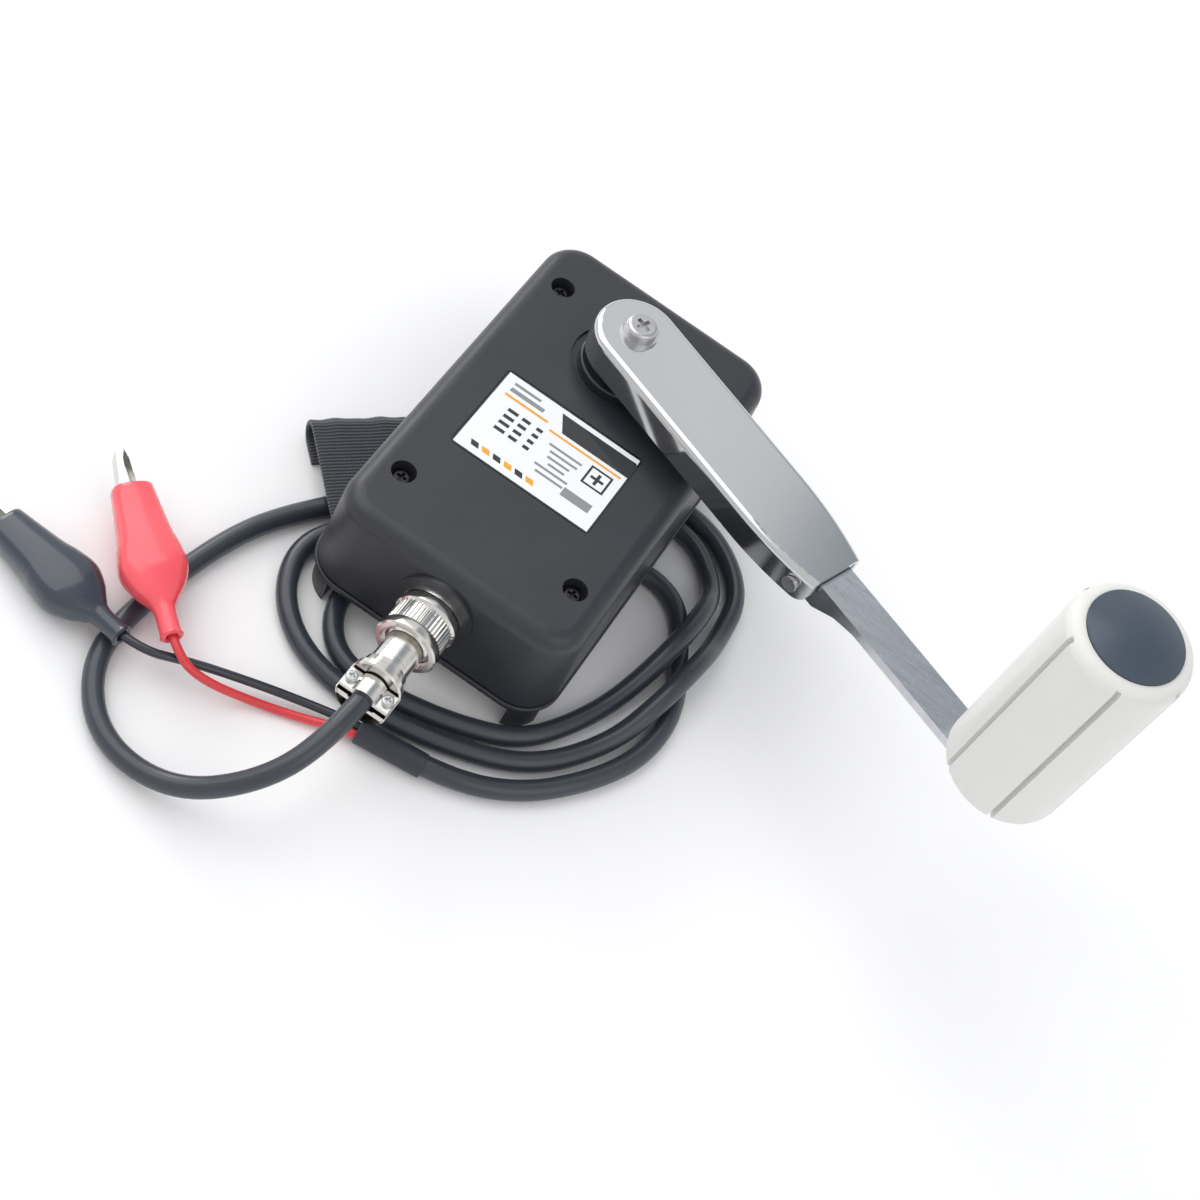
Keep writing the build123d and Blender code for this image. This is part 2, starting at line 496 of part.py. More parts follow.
# Handle bar: folded strip on a cross pin, with two ears beside the pin.
EAR_OUT = BAR_W / 2
EAR_T = 2.2
bar = block(PIN_S, GRIP_S + 3, -EAR_OUT, EAR_OUT, BAR_TOP - BAR_THICK, BAR_TOP)
bar += Pos(GRIP_S, 0, BAR_TOP - BAR_THICK / 2) * Cylinder(7.5, BAR_THICK)
BAR_END_R = 3.7
ear_profile = Polyline((PIN_S, 3.2), (PIN_S + 12, 3.2), (PIN_S + 22, 2.0), (PIN_S + 22, 0.4),
                       (PIN_S + 14, -1.5),
                       (PIN_S + 7, -5.6), (PIN_S, -5.6), close=True)
ear = make_face(ear_profile)
for side in (-1, 1):
    start = side * (EAR_OUT - EAR_T / 2)
    one = Pos(0, start, PIN_Z) * Rot(90, 0, 0) * extrude(ear, EAR_T / 2, both=True)
    one += Pos(PIN_S, start, PIN_Z) * Rot(90, 0, 0) * Cylinder(BAR_END_R, EAR_T)
    one += Pos(PIN_S, start, PIN_Z - 2.6) * Rot(90, 0, 0) * Cylinder(3.0, EAR_T)
    bar += one
bar -= Pos(PIN_S, 0, PIN_Z) * Rot(90, 0, 0) * Cylinder(PIN_R + RUN, 40)
bar -= block(PIN_S - 3.9, PIN_S + 3.4, -EAR_OUT + EAR_T, EAR_OUT - EAR_T, BAR_TOP - BAR_THICK - 1,
             BAR_TOP - 0.6)
for side in (-1, 1):
    bar -= block(PIN_S + 8, GRIP_S - 18, side * 2.6 - 0.5, side * 2.6 + 0.5, BAR_TOP - 0.25, BAR_TOP + 1)
bar -= Pos(GRIP_S, 0, 0) * tube(3.5, 0, 40, 70)
save(crank_place * bar, "handle_bar")
PIN_HALF = ARM_HALF - (TAPER_R - sqrt(TAPER_R ** 2 - (PIN_S - ARM_TAPER_START) ** 2))
fold = Pos(PIN_S, 0, PIN_Z) * Rot(90, 0, 0) * Cylinder(PIN_R - 0.01, 2 * PIN_HALF + 1.8)
for side in (-1, 1):
    gap = (EAR_OUT + 0.1, PIN_HALF - ARM_SHEET - 0.75)
    fold += Pos(PIN_S, side * (gap[0] + gap[1]) / 2, PIN_Z) * Rot(90, 0, 0) * Cylinder(2.8, gap[1] - gap[0])
    fold += Pos(PIN_S, side * (PIN_HALF + 0.9), PIN_Z) * Rot(90, 0, 0) * Cylinder(2.4, 0.7)
save(crank_place * fold, "fold_pin")

# Spindle riveted in the bar; the grip turns on it between its foot and its head.
# The grip is a moulded shell with a middle boss, closed by the cap.
grip_place = crank_place * Pos(GRIP_S, 0, 0)
HEAD_LOW = 121.0
spindle = tube(3.48, 0, BAR_TOP - BAR_THICK - 0.8, BAR_TOP + 0.2) + tube(6.2, 0, BAR_TOP - BAR_THICK - 1.6,
                                                                     BAR_TOP - BAR_THICK)
spindle += tube(7.0, 0, BAR_TOP, GRIP_LOW - 0.1) + tube(SPINDLE_R, 0, BAR_TOP, HEAD_LOW)
spindle += tube(8.5, 0, HEAD_LOW, HEAD_LOW + 2.4)
save(grip_place * spindle, "grip_spindle")
grip = tube(GRIP_R, 0, GRIP_LOW, GRIP_RIM)
grip = fillet(grip.edges().filter_by(GeomType.CIRCLE), 3.0)
GROOVES = 10
GROOVE_TOP = 118.0
groove = Pos(GRIP_R + 0.4, 0, 0) * (tube(1.6, 0, GRIP_LOW - 1, GROOVE_TOP) + Pos(0, 0,
                                                                                 GROOVE_TOP) * Sphere(1.6))
for cut in range(GROOVES):
    grip -= Rot(0, 0, 360 / GROOVES * (cut + 0.5)) * groove
grip -= tube(SPINDLE_R + RUN, 0, 50, 140)
CAP_R = 13.0
CAVITY_R = 12.0
BOSS_R = 6.5
grip -= tube(CAVITY_R, BOSS_R, GRIP_LOW + 3.0, HEAD_LOW)
grip -= tube(CAVITY_R, 0, HEAD_LOW - 0.15, 140)
grip -= tube(CAP_R + 0.02, 0, GRIP_RIM - 2.0, 140)
save(grip_place * grip, "grip_sleeve")
cap = tube(CAP_R, 0, GRIP_RIM - 2.0, GRIP_RIM + 0.6)
dome_r = (CAP_R ** 2 + (GRIP_TOP - GRIP_RIM - 0.6) ** 2) / 2 / (GRIP_TOP - GRIP_RIM - 0.6)
cap += Pos(0, 0, GRIP_TOP - dome_r) * Sphere(dome_r) & tube(CAP_R, 0, GRIP_RIM + 0.5, GRIP_TOP + 1)
cap += tube(CAVITY_R - 0.05, CAVITY_R - 1.25, HEAD_LOW + 3.2, GRIP_RIM - 1.9)
save(grip_place * cap, "grip_cap")


# Sweep a round section along a route with rounded corners.
def cord(points, radius, radii):
    path = FilletPolyline(*points, radius=radii)
    section = Plane(origin=path @ 0, z_dir=path % 0) * Circle(radius)
    return sweep(section, path=path), path


def corner_radii(points):
    radii = []
    for before, here, after in zip(points, points[1:], points[2:]):
        one = Vector(*here) - Vector(*before)
        two = Vector(*after) - Vector(*here)
        turn = radians(one.get_angle(two))
        radii.append(0.45 * min(one.length, two.length) / tan(turn / 2))
    return radii


# Cable from the plug: it drops in one wide loop to the ground.
LEAD = [(0.0, -94.2, 29.5), (0.0, -112.0, 29.5), (-7.0, -130.0, 21.0), (-26.0, -141.0, 7.0),
        (-50.0, -138.5, 3.0), (-65.5, -121.0, 3.0), (-66.0, -99.0, 3.0), (-64.0, -87.0, 3.0)]
lead_radii = corner_radii(LEAD)
print("lead radii", [round(r, 1) for r in lead_radii])
lead, lead_path = cord(LEAD, CABLE_R, lead_radii)
save(lead, "cable_lead")
print("lead volume over section", round(lead.volume / (pi * CABLE_R ** 2), 1), "path",
      round(lead_path.length, 1))

# The rest of the cable lies under the housing in two and a half loops. Its tail
# passes beneath the two outer loops on the right, then outside them to its end.
LOOPS = [(-64.0, -87.0, 3.0), (-61.0, -69.0, 3.0), (-53.5, -50.0, 3.0), (-36.0, -25.0, 3.0),
         (-8.0, 3.5, 3.0),
         (23.0, 34.0, 3.0), (47.0, 35.5, 3.0), (65.5, 21.0, 3.0), (67.3, 0.0, 3.0), (66.5, -14.0, 9.8),
         (63.5, -34.0, 9.8), (58.5, -50.0, 3.0), (44.5, -71.0, 3.0), (22.0, -81.0, 3.0), (-2.0, -85.5, 3.0),
         (-24.0, -82.5, 3.0), (-38.5, -71.0, 3.0), (-44.0, -55.0, 3.0), (-38.0, -41.0, 3.0), (-21.0,
                                                                                              -22.5, 3.0),
         (3.0, 1.2, 3.0), (27.0, 26.5, 3.0), (45.0, 28.0, 3.0), (58.0, 16.0, 3.0), (59.3, 1.0, 9.8),
         (57.5, -18.0, 9.8), (53.0, -36.0, 3.0), (46.5, -52.0, 3.0), (37.5, -66.0, 3.0), (20.0, -74.0, 3.0),
         (0.0, -78.5, 3.0), (-16.0, -77.5, 3.0), (-25.6, -66.0, 3.0), (-25.8, -50.0, 3.0), (-10.0, -28.0,
                                                                                            3.0),
         (9.0, -9.0, 3.0), (28.0, 6.0, 3.0), (50.0, 7.0, 3.0), (61.0, -12.0, 3.0), (68.5, -29.0, 3.0),
         (68.0, -47.0, 3.0), (60.0, -63.5, 3.0), (46.0, -80.0, 3.0), (28.0, -89.5, 3.6), (12.0, -91.5, 3.6)]
loop_radii = corner_radii(LOOPS)
print("loop radii", [round(r, 1) for r in loop_radii])
coil, coil_path = cord(LOOPS, CABLE_R, loop_radii)
save(coil, "cable_coil")
print("coil volume over section", round(coil.volume / (pi * CABLE_R ** 2), 1), "path",
      round(coil_path.length, 1))
spots = [coil_path @ (k / 480) for k in range(481)]
step_length = coil_path.length / 480
apart = [(spots[i] - spots[j]).length for i in range(481) for j in range(i + int(40 / step_length), 481)]
print("least gap of the coil to itself", round(min(apart) - 2 * CABLE_R, 2))

# Shrink sleeve over the cable end, where the two single leads come out.
tail = Vector(*LOOPS[-1])
out = (tail - Vector(*LOOPS[-2])).normalized()
side_way = Vector(-out.Y, out.X, 0)
sleeve_start = tail - out * 9.0
sleeve_plane = Plane(origin=sleeve_start, z_dir=out)
SHRINK_R = 3.55
shrink = sleeve_plane * (Pos(0, 0, 10) * Cylinder(SHRINK_R, 20))
shrink = fillet(shrink.edges().filter_by(GeomType.CIRCLE), 0.4)
shrink -= sleeve_plane * (Pos(0, 0, 4) * Cylinder(CABLE_R + 0.01, 10))
black_start = tail + out * 4.0 - side_way * 1.35
red_start = tail + out * 4.0 + side_way * 1.35
for start in (black_start, red_start):
    shrink -= Plane(origin=start, z_dir=out) * (Pos(0, 0, 6) * Cylinder(WIRE_R + 0.01, 12))
save(shrink, "heat_shrink")

# Clip frames: tail mouth, direction toward the jaws; both boots rest on the cable.
BLACK_TAIL = Vector(-61.7, -113.6, 9.4)
BLACK_WAY = Vector(-0.972, 0.213, -0.0985).normalized()
RED_TAIL = Vector(-51.1, -107.1, 12.5)
RED_WAY = Vector(-0.760, 0.649, 0).normalized()
BLACK_WIRE = [tuple(black_start), tuple(black_start + out * 10.0), (-14.0, -94.5, 3.0),
              (-27.0, -99.0, 4.2), (-44.0, -107.0, 7.6),
              tuple(BLACK_TAIL - BLACK_WAY * 5.0), tuple(BLACK_TAIL + BLACK_WAY * 8.0)]
RED_WIRE = [tuple(red_start), tuple(red_start + out * 10.0), (-12.0, -98.0, 1.5), (-25.0, -102.5, 1.5),
            (-38.5, -109.5, 7.3),
            tuple(RED_TAIL - RED_WAY * 5.5), tuple(RED_TAIL + RED_WAY * 8.0)]
for points, name in ((BLACK_WIRE, "black_wire"), (RED_WIRE, "red_wire")):
    wire_radii = corner_radii(points)
    print(name, [tuple(round(v, 2) for v in p) for p in points], "radii", [round(r, 1) for r in wire_radii])
    wire, wire_path = cord(points, WIRE_R, wire_radii)
    save(wire, name)


# Crocodile clip in its own frame: x from the tail mouth to the jaws, z the pin.
CLIP_PIN_X = 29.0
JAW_T = 0.7


BOOT_SIZES = ((0.0, 6.4, 6.4), (2.5, 5.9, 5.9), (9.0, 6.6, 6.2), (14.5, 14.0, 9.6), (20.0, 18.4, 12.0),
              (26.0, 17.4, 12.0), (32.0, 14.6, 11.4), (46.0, 11.4, 9.4))
BOOT_HOLLOW = ((3.5, 4.2, 4.2), (9.0, 4.8, 4.4), (14.5, 12.0, 7.7), (20.0, 16.4, 10.1), (26.0, 15.4, 10.1),
               (32.0, 12.7, 9.5), (46.5, 9.4, 7.4))


def boot_form(sizes):
    sections = []
    for x, wide, high in sizes:
        plane = Plane(origin=(x, 0, 0), x_dir=(0, 1, 0), z_dir=(1, 0, 0))
        sections.append(plane * RectangleRounded(wide, high, 0.44 * min(wide, high)))
    return loft(sections, ruled=True)


def jaw_half(side):
    outline = Polyline((8.5, 0.5), (12, 1.6), (18, 6.3), (22.5, 6.6), (27, 4.4), (34, 4.3), (46, 3.6),
                       (58, 2.2),
                       (58, 0.15), (54, 0.9), (34, 1.6), (24, 1.6), (19, 3.6), (13, 0.5), close=True)
    body = extrude(make_face(outline), 3.0, both=True)
    inside = Polyline((7.5, -1), (12.4, 0.6), (18.4, 5.5), (22.2, 5.8), (26.8, 3.6), (34, 3.5), (46, 2.8),
                      (57.2, 1.5),
                      (57.2, -1), close=True)
    body -= extrude(make_face(inside), 3.0 - JAW_T, both=True)
    for notch in range(6):
        body -= Pos(40 + 3 * notch, 0.2, 0) * Rot(0, 0, 45) * Box(1.1, 1.1, 8)
    if side < 0:
        return mirror(body, Plane.XZ)
    return body - block(0, 17.0, -9, 9, -5, 5)


def clip_parts(tail_point, way, colour):
    up = (Vector(0, 0, 1) - way * way.Z).normalized()
    place = Plane(origin=tail_point, x_dir=way, z_dir=up).location
    boot = boot_form(BOOT_SIZES) - boot_form(BOOT_HOLLOW)
    boot -= Pos(3, 0, 0) * Rot(0, 90, 0) * Cylinder(WIRE_R + 0.02, 14)
    save(place * boot, colour + "_boot")
    pin = tube(0.95, 0, -3.6, 3.6) + tube(1.6, 0, 3.05, 3.6) + tube(1.6, 0, -3.6, -3.05)
    save(place * Pos(CLIP_PIN_X, 0, 0) * pin, colour + "_clip_pin")
    fixed = jaw_half(-1)
    fixed += block(26.6, 31.4, -3.0, 2.4, 2.3, 3.0) + block(26.6, 31.4, -3.0, 2.4, -3.0, -2.3)
    fixed += block(5.5, 10.0, -2.0, -WIRE_R - 0.05, -1.0, 1.0)
    fixed -= block(4, 14, -6, 6, 1.5, 4) + block(4, 14, -6, 6, -4, -1.5)
    fixed -= Pos(CLIP_PIN_X, 0, 0) * tube(0.95, 0, -5, 5)
    moving = jaw_half(1)
    moving -= Pos(CLIP_PIN_X, 0, 0) * (tube(4.0, 0, 2.2, 3.2) + tube(4.0, 0, -3.2, -2.2))
    moving += block(26.5, 31.5, -1.6, 3.9, 1.5, 2.15) + block(26.5, 31.5, -1.6, 3.9, -2.15, -1.5)
    moving -= Pos(CLIP_PIN_X, 0, 0) * tube(0.95 + RUN, 0, -5, 5)
    save(place * fixed, colour + "_fixed_jaw")
    save(place * moving, colour + "_moving_jaw")
    helix = Helix(pitch=0.75, height=2.2, radius=1.25)
    spring = sweep(Plane(origin=helix @ 0, z_dir=helix % 0) * Circle(0.28), path=helix, is_frenet=True)
    save(place * Pos(CLIP_PIN_X, 0, -1.1) * spring, colour + "_clip_spring")
    print(colour, "pin", tail_point + way * CLIP_PIN_X, "axis", up)


clip_parts(BLACK_TAIL, BLACK_WAY, "black")
clip_parts(RED_TAIL, RED_WAY, "red")

# Hand strap: webbing held under the back by a bar at the plug end. It leaves under
# the left side, folds over beside the housing and comes back on itself.
STRAP_T = 1.6
STRAP_HALF = 19.5
STRAP_WAY = radians(135.5)
way = Vector(cos(STRAP_WAY), sin(STRAP_WAY), 0)
cross = Vector(sin(STRAP_WAY), -cos(STRAP_WAY), 0)
UP = Vector(0, 0, 1)
start_point = Vector(-25.3, -32.0, 0)


def strap_section(centre, half, normal):
    half = half * STRAP_HALF
    thick = normal * (STRAP_T / 2)
    return Wire.make_polygon([centre - half - thick, centre + half - thick, centre + half + thick,
                              centre - half + thick], close=True)


strap = [strap_section(Vector(0, -63.0, PLATE_UNDER - STRAP_T / 2), Vector(1, 0, 0), UP),
         strap_section(Vector(0, -53.0, PLATE_UNDER - STRAP_T / 2), Vector(1, 0, 0), UP),
         strap_section(Vector(-4.0, -46.5, 8.3), Vector(cos(0.3), sin(0.3), 0), UP),
         strap_section(Vector(-13.0, -40.0, 7.5), Vector(cos(0.6), sin(0.6), 0), UP)]
for along, height in ((0.0, 7.4), (18.0, 7.6), (26.0, 8.2)):
    strap.append(strap_section(start_point + way * along + UP * height, cross, UP))
FOLD_R = 3.8
FOLD_AT = 33.0
FOLD_Z = FOLD_R + STRAP_T / 2 + 0.3
for angle in (90, 60, 30, 0, -30, -60, -90):
    spoke = way * cos(radians(angle)) + UP * sin(radians(angle))
    strap.append(strap_section(start_point + way * FOLD_AT + UP * FOLD_Z + spoke * FOLD_R, cross, spoke))
for along, height in ((30.0, 1.0), (26.0, 0.85)):
    strap.append(strap_section(start_point + way * along + UP * height, cross, UP * -1))
strap_solid = Solid.make_loft(strap, ruled=True)
for place in strap_screw_places:
    strap_solid = strap_solid - place * tube(1.35, 0, 5, 15)
print("strap volume over section", round(strap_solid.volume / (2 * STRAP_HALF * STRAP_T), 1))
save(strap_solid, "hand_strap")
strap_bar = extrude(Pos(0, STRAP_BAR_Y, PLATE_UNDER - STRAP_T - 1.7) * RectangleRounded(38.0, 6.5, 2.0),
                    1.7)
for place in strap_screw_places:
    strap_bar -= place * tube(1.35, 0, 5, 15)
save(strap_bar, "strap_bar")
strap_screw = Rot(180, 0, 0) * pan_screw(2.2, 0.5, 1.25, 9.0, 0.6)
save(Compound(children=[place * Pos(0, 0, PLATE_UNDER - STRAP_T - 1.7) *
                        strap_screw for place in strap_screw_places]),
     "strap_screws")

# Inner leads from the board to the socket, clear of the rotor.
leads = []
for side, (pin_x, pin_z) in ((1, pin_ring[2]), (-1, pin_ring[1])):
    points = [(side * 21.0, 10.0, BOARD_TOP), (side * 21.0, 10.0, 21.5), (side * 24.2, -8.0, 21.5),
              (side * 24.2, -36.0, 22.0), (pin_x + side * 7.0, -46.0, PLUG_Z + pin_z - 1), (pin_x, -46.4,
                                                                                            PLUG_Z + pin_z),
              (pin_x, -52.45, PLUG_Z + pin_z)]
    lead_wire, lead_wire_path = cord(points, 0.8, corner_radii(points))
    leads.append(lead_wire)
save(Compound(children=leads), "inner_leads")
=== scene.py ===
import math

import bmesh
import bpy
from mathutils import Matrix, Vector


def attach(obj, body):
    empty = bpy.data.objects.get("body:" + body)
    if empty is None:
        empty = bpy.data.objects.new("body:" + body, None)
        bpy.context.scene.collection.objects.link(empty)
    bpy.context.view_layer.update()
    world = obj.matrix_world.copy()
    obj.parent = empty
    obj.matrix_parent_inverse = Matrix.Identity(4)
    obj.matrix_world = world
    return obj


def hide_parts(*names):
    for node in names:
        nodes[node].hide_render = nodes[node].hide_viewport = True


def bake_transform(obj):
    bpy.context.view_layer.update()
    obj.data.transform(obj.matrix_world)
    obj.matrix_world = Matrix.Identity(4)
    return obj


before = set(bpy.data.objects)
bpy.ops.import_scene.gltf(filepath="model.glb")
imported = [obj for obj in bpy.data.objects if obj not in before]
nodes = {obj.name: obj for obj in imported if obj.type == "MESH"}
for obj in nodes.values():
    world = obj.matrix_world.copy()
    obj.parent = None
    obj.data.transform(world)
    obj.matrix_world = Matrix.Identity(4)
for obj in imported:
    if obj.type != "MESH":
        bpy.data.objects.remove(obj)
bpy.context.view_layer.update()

# Camera: 66 mm lens above the plug end, with the roll that the photographer's
# angle has relative to the housing. The picture is square.
camera_data = bpy.data.cameras.new("camera")
camera_data.lens = 65.81
camera_data.sensor_width = 36.0
camera_data.clip_start = 0.01
camera = bpy.data.objects.new("camera", camera_data)
bpy.context.collection.objects.link(camera)
turn = Matrix(((0.8223, -0.5678, 0.0387), (0.4731, 0.6442, -0.6010), (0.3164, 0.5125, 0.7983)))
camera.matrix_world = Matrix.Translation((0.05704, -0.39138, 0.50871)) @ turn.to_4x4()
bpy.context.scene.camera = camera
bpy.context.scene.view_settings.view_transform = "Standard"

# Studio: a pale table and soft light from a large box behind the left shoulder,
# two weaker ones, and a wide white surround. The polished arm reflects a patch of it
# above, which turns from white to grey where a noisy edge crosses it.
table_mesh = bpy.data.meshes.new("table")
table_mesh.from_pydata([(-3, -3, 0), (3, -3, 0), (3, 3, 0), (-3, 3, 0)], [], [(0, 1, 2, 3)])
table = bpy.data.objects.new("table", table_mesh)
bpy.context.collection.objects.link(table)
paper = bpy.data.materials.new("paper")
paper.use_nodes = True
paper_shader = paper.node_tree.nodes["Principled BSDF"]
paper_shader.inputs["Base Color"].default_value = (0.93, 0.93, 0.94, 1)
paper_shader.inputs["Roughness"].default_value = 0.85
paper_shader.inputs["Specular IOR Level"].default_value = 0.15
table_mesh.materials.append(paper)
for place, aim, size, power, name in (
        ((-0.9, 0.2, 1.3), (0.02, -0.02, 0.03), 1.7, 12.0, "key"),
        ((1.1, -0.6, 1.1), (0.03, 0.0, 0.05), 1.2, 3.0, "fill"),
        ((-1.3, 0.9, 0.7), (0.0, 0.0, 0.05), 0.7, 5.0, "back")):
    lamp_data = bpy.data.lights.new(name, "AREA")
    lamp_data.size = size
    lamp_data.energy = power
    lamp = bpy.data.objects.new(name, lamp_data)
    bpy.context.collection.objects.link(lamp)
    lamp.location = place
    lamp.rotation_euler = (Vector(aim) - Vector(place)).to_track_quat("-Z", "Y").to_euler()
world = bpy.data.worlds.new("surround")
bpy.context.scene.world = world
world.use_nodes = True
tree = world.node_tree
where = tree.nodes.new("ShaderNodeTexCoord")
dot = tree.nodes.new("ShaderNodeVectorMath")
dot.operation = "DOT_PRODUCT"
dot.inputs[1].default_value = (0.10, 0.60, 0.79)
patch = tree.nodes.new("ShaderNodeMapRange")
patch.interpolation_type = "SMOOTHSTEP"
patch.inputs["From Min"].default_value = 0.80
patch.inputs["From Max"].default_value = 0.97
sky = tree.nodes.new("ShaderNodeMix")
sky.data_type = "RGBA"
sky.inputs["A"].default_value = (1.0, 1.0, 1.0, 1)
heading = tree.nodes.new("ShaderNodeSeparateXYZ")
haze = tree.nodes.new("ShaderNodeTexNoise")
haze.inputs["Scale"].default_value = 9.0
blur = tree.nodes.new("ShaderNodeMath")
blur.operation = "MULTIPLY_ADD"
blur.inputs[1].default_value = 0.14
edge = tree.nodes.new("ShaderNodeMapRange")
edge.interpolation_type = "SMOOTHSTEP"
edge.inputs["From Min"].default_value = 0.055
edge.inputs["From Max"].default_value = 0.125
wall = tree.nodes.new("ShaderNodeMix")
wall.data_type = "RGBA"
wall.inputs["A"].default_value = (1.10, 1.11, 1.12, 1)
wall.inputs["B"].default_value = (0.46, 0.51, 0.56, 1)
tree.links.new(where.outputs["Generated"], heading.inputs["Vector"])
tree.links.new(where.outputs["Generated"], haze.inputs["Vector"])
tree.links.new(haze.outputs["Fac"], blur.inputs[0])
tree.links.new(heading.outputs["X"], blur.inputs[2])
tree.links.new(blur.outputs[0], edge.inputs["Value"])
tree.links.new(edge.outputs["Result"], wall.inputs["Factor"])
tree.links.new(wall.outputs["Result"], sky.inputs["B"])
tree.links.new(where.outputs["Generated"], dot.inputs[0])
tree.links.new(dot.outputs["Value"], patch.inputs["Value"])
tree.links.new(patch.outputs["Result"], sky.inputs["Factor"])
tree.links.new(sky.outputs["Result"], tree.nodes["Background"].inputs["Color"])
tree.nodes["Background"].inputs["Strength"].default_value = 0.80

# Shared surface effect: two sizes of noise give a mask for tone and gloss and a
# height for the bump. It is used by every moulded, rolled or cast surface below.
grain = bpy.data.node_groups.new("grain", "ShaderNodeTree")
grain.interface.new_socket("Vector", in_out="INPUT", socket_type="NodeSocketVector")
grain.interface.new_socket("Coarse", in_out="INPUT", socket_type="NodeSocketFloat")
grain.interface.new_socket("Fine", in_out="INPUT", socket_type="NodeSocketFloat")
grain.interface.new_socket("Mask", in_out="OUTPUT", socket_type="NodeSocketFloat")
grain.interface.new_socket("Height", in_out="OUTPUT", socket_type="NodeSocketFloat")
g_in = grain.nodes.new("NodeGroupInput")
g_out = grain.nodes.new("NodeGroupOutput")
coarse = grain.nodes.new("ShaderNodeTexNoise")
coarse.inputs["Detail"].default_value = 5.0
fine = grain.nodes.new("ShaderNodeTexNoise")
fine.inputs["Detail"].default_value = 3.0
blend = grain.nodes.new("ShaderNodeMath")
blend.operation = "MULTIPLY_ADD"
blend.inputs[1].default_value = 0.35
grain.links.new(g_in.outputs["Vector"], coarse.inputs["Vector"])
grain.links.new(g_in.outputs["Vector"], fine.inputs["Vector"])
grain.links.new(g_in.outputs["Coarse"], coarse.inputs["Scale"])
grain.links.new(g_in.outputs["Fine"], fine.inputs["Scale"])
grain.links.new(coarse.outputs["Fac"], blend.inputs[0])
grain.links.new(fine.outputs["Fac"], blend.inputs[2])
grain.links.new(coarse.outputs["Fac"], g_out.inputs["Mask"])
grain.links.new(blend.outputs[0], g_out.inputs["Height"])


def finish(name, dark, light, gloss, coarse_scale, fine_scale, relief, stretch=(1, 1, 1), **sockets):
    """A material whose tone and roughness vary with the grain, and its bump."""
    made = bpy.data.materials.new(name)
    made.use_nodes = True
    t = made.node_tree
    shader = t.nodes["Principled BSDF"]
    spot = t.nodes.new("ShaderNodeTexCoord")
    scale = t.nodes.new("ShaderNodeMapping")
    scale.inputs["Scale"].default_value = stretch
    cloud = t.nodes.new("ShaderNodeGroup")
    cloud.node_tree = grain
    cloud.inputs["Coarse"].default_value = coarse_scale
    cloud.inputs["Fine"].default_value = fine_scale
    tone = t.nodes.new("ShaderNodeMix")
    tone.name = "tone"
    tone.data_type = "RGBA"
    tone.inputs["A"].default_value = (*dark, 1)
    tone.inputs["B"].default_value = (*light, 1)
    rough = t.nodes.new("ShaderNodeMapRange")
    rough.name = "rough"
    rough.inputs["From Min"].default_value = 0.15
    rough.inputs["From Max"].default_value = 0.85
    rough.inputs["To Min"].default_value = gloss[0]
    rough.inputs["To Max"].default_value = gloss[1]
    bump = t.nodes.new("ShaderNodeBump")
    bump.name = "bump"
    bump.inputs["Distance"].default_value = relief
    bump.inputs["Strength"].default_value = 0.6
    t.links.new(spot.outputs["Object"], scale.inputs["Vector"])
    t.links.new(scale.outputs["Vector"], cloud.inputs["Vector"])
    t.links.new(cloud.outputs["Mask"], tone.inputs["Factor"])
    t.links.new(cloud.outputs["Mask"], rough.inputs["Value"])
    t.links.new(cloud.outputs["Height"], bump.inputs["Height"])
    t.links.new(tone.outputs["Result"], shader.inputs["Base Color"])
    t.links.new(rough.outputs["Result"], shader.inputs["Roughness"])
    t.links.new(bump.outputs["Normal"], shader.inputs["Normal"])
    for key, value in sockets.items():
        shader.inputs[key.replace("_", " ")].default_value = value
    return made


def wear(piece_names, made):
    """CAD nodes take this finish."""
    for piece_name in piece_names:
        mesh = nodes[piece_name].data
        mesh.materials.clear()
        mesh.materials.append(made)


# Covers: black ABS from a satin mould, with faint swirls and a fine spark texture.
# The hub ring and the hub block are of a glossier grade of the same plastic.
black_abs = finish("black_abs", (0.020, 0.022, 0.028), (0.032, 0.034, 0.042), (0.30, 0.44), 60.0, 1800.0,
                   0.00006, Specular_IOR_Level=0.5)
wear(["front_cover", "rear_cover", "strap_bar"], black_abs)
hub_plastic = finish("hub_plastic", (0.013, 0.014, 0.018), (0.022, 0.024, 0.030), (0.18, 0.30), 90.0,
                     2200.0, 0.00004)
wear(["hub_ring", "arm_hub"], hub_plastic)

# Screws, washers, pins and springs: zinc-plated steel, a little clouded.
zinc = finish("zinc", (0.42, 0.42, 0.43), (0.66, 0.66, 0.67), (0.20, 0.38), 240.0, 1500.0, 0.00003,
              Metallic=1.0)
wear(["arm_washer", "arm_screw", "fold_pin", "grip_spindle", "black_clip_pin", "red_clip_pin",
      "plate_screws", "strap_screws", "clamp_screws", "gear_axles", "rotor_shaft", "black_clip_spring",
      "red_clip_spring"], zinc)
blackened = finish("blackened", (0.02, 0.02, 0.022), (0.07, 0.07, 0.075), (0.28, 0.42), 300.0, 1500.0,
                   0.00003, Metallic=0.9)
wear(["cover_screws"], blackened)

# Crank arm: mirror-polished pressed steel, a little clouded by the polishing wheel.
# The flat bar and the shaft are bright drawn steel, streaked along their length.
mirror = finish("mirror_steel", (0.56, 0.57, 0.58), (0.64, 0.65, 0.66), (0.09, 0.15), 30.0, 700.0, 0.000005,
                Metallic=1.0)
wear(["crank_arm"], mirror)
bar_steel = finish("bar_steel", (0.50, 0.51, 0.54), (0.70, 0.71, 0.74), (0.12, 0.24), 60.0, 1200.0, 0.00003,
                   stretch=(1.0, 20.0, 1.0), Metallic=1.0)
wear(["handle_bar", "crank_shaft"], bar_steel)

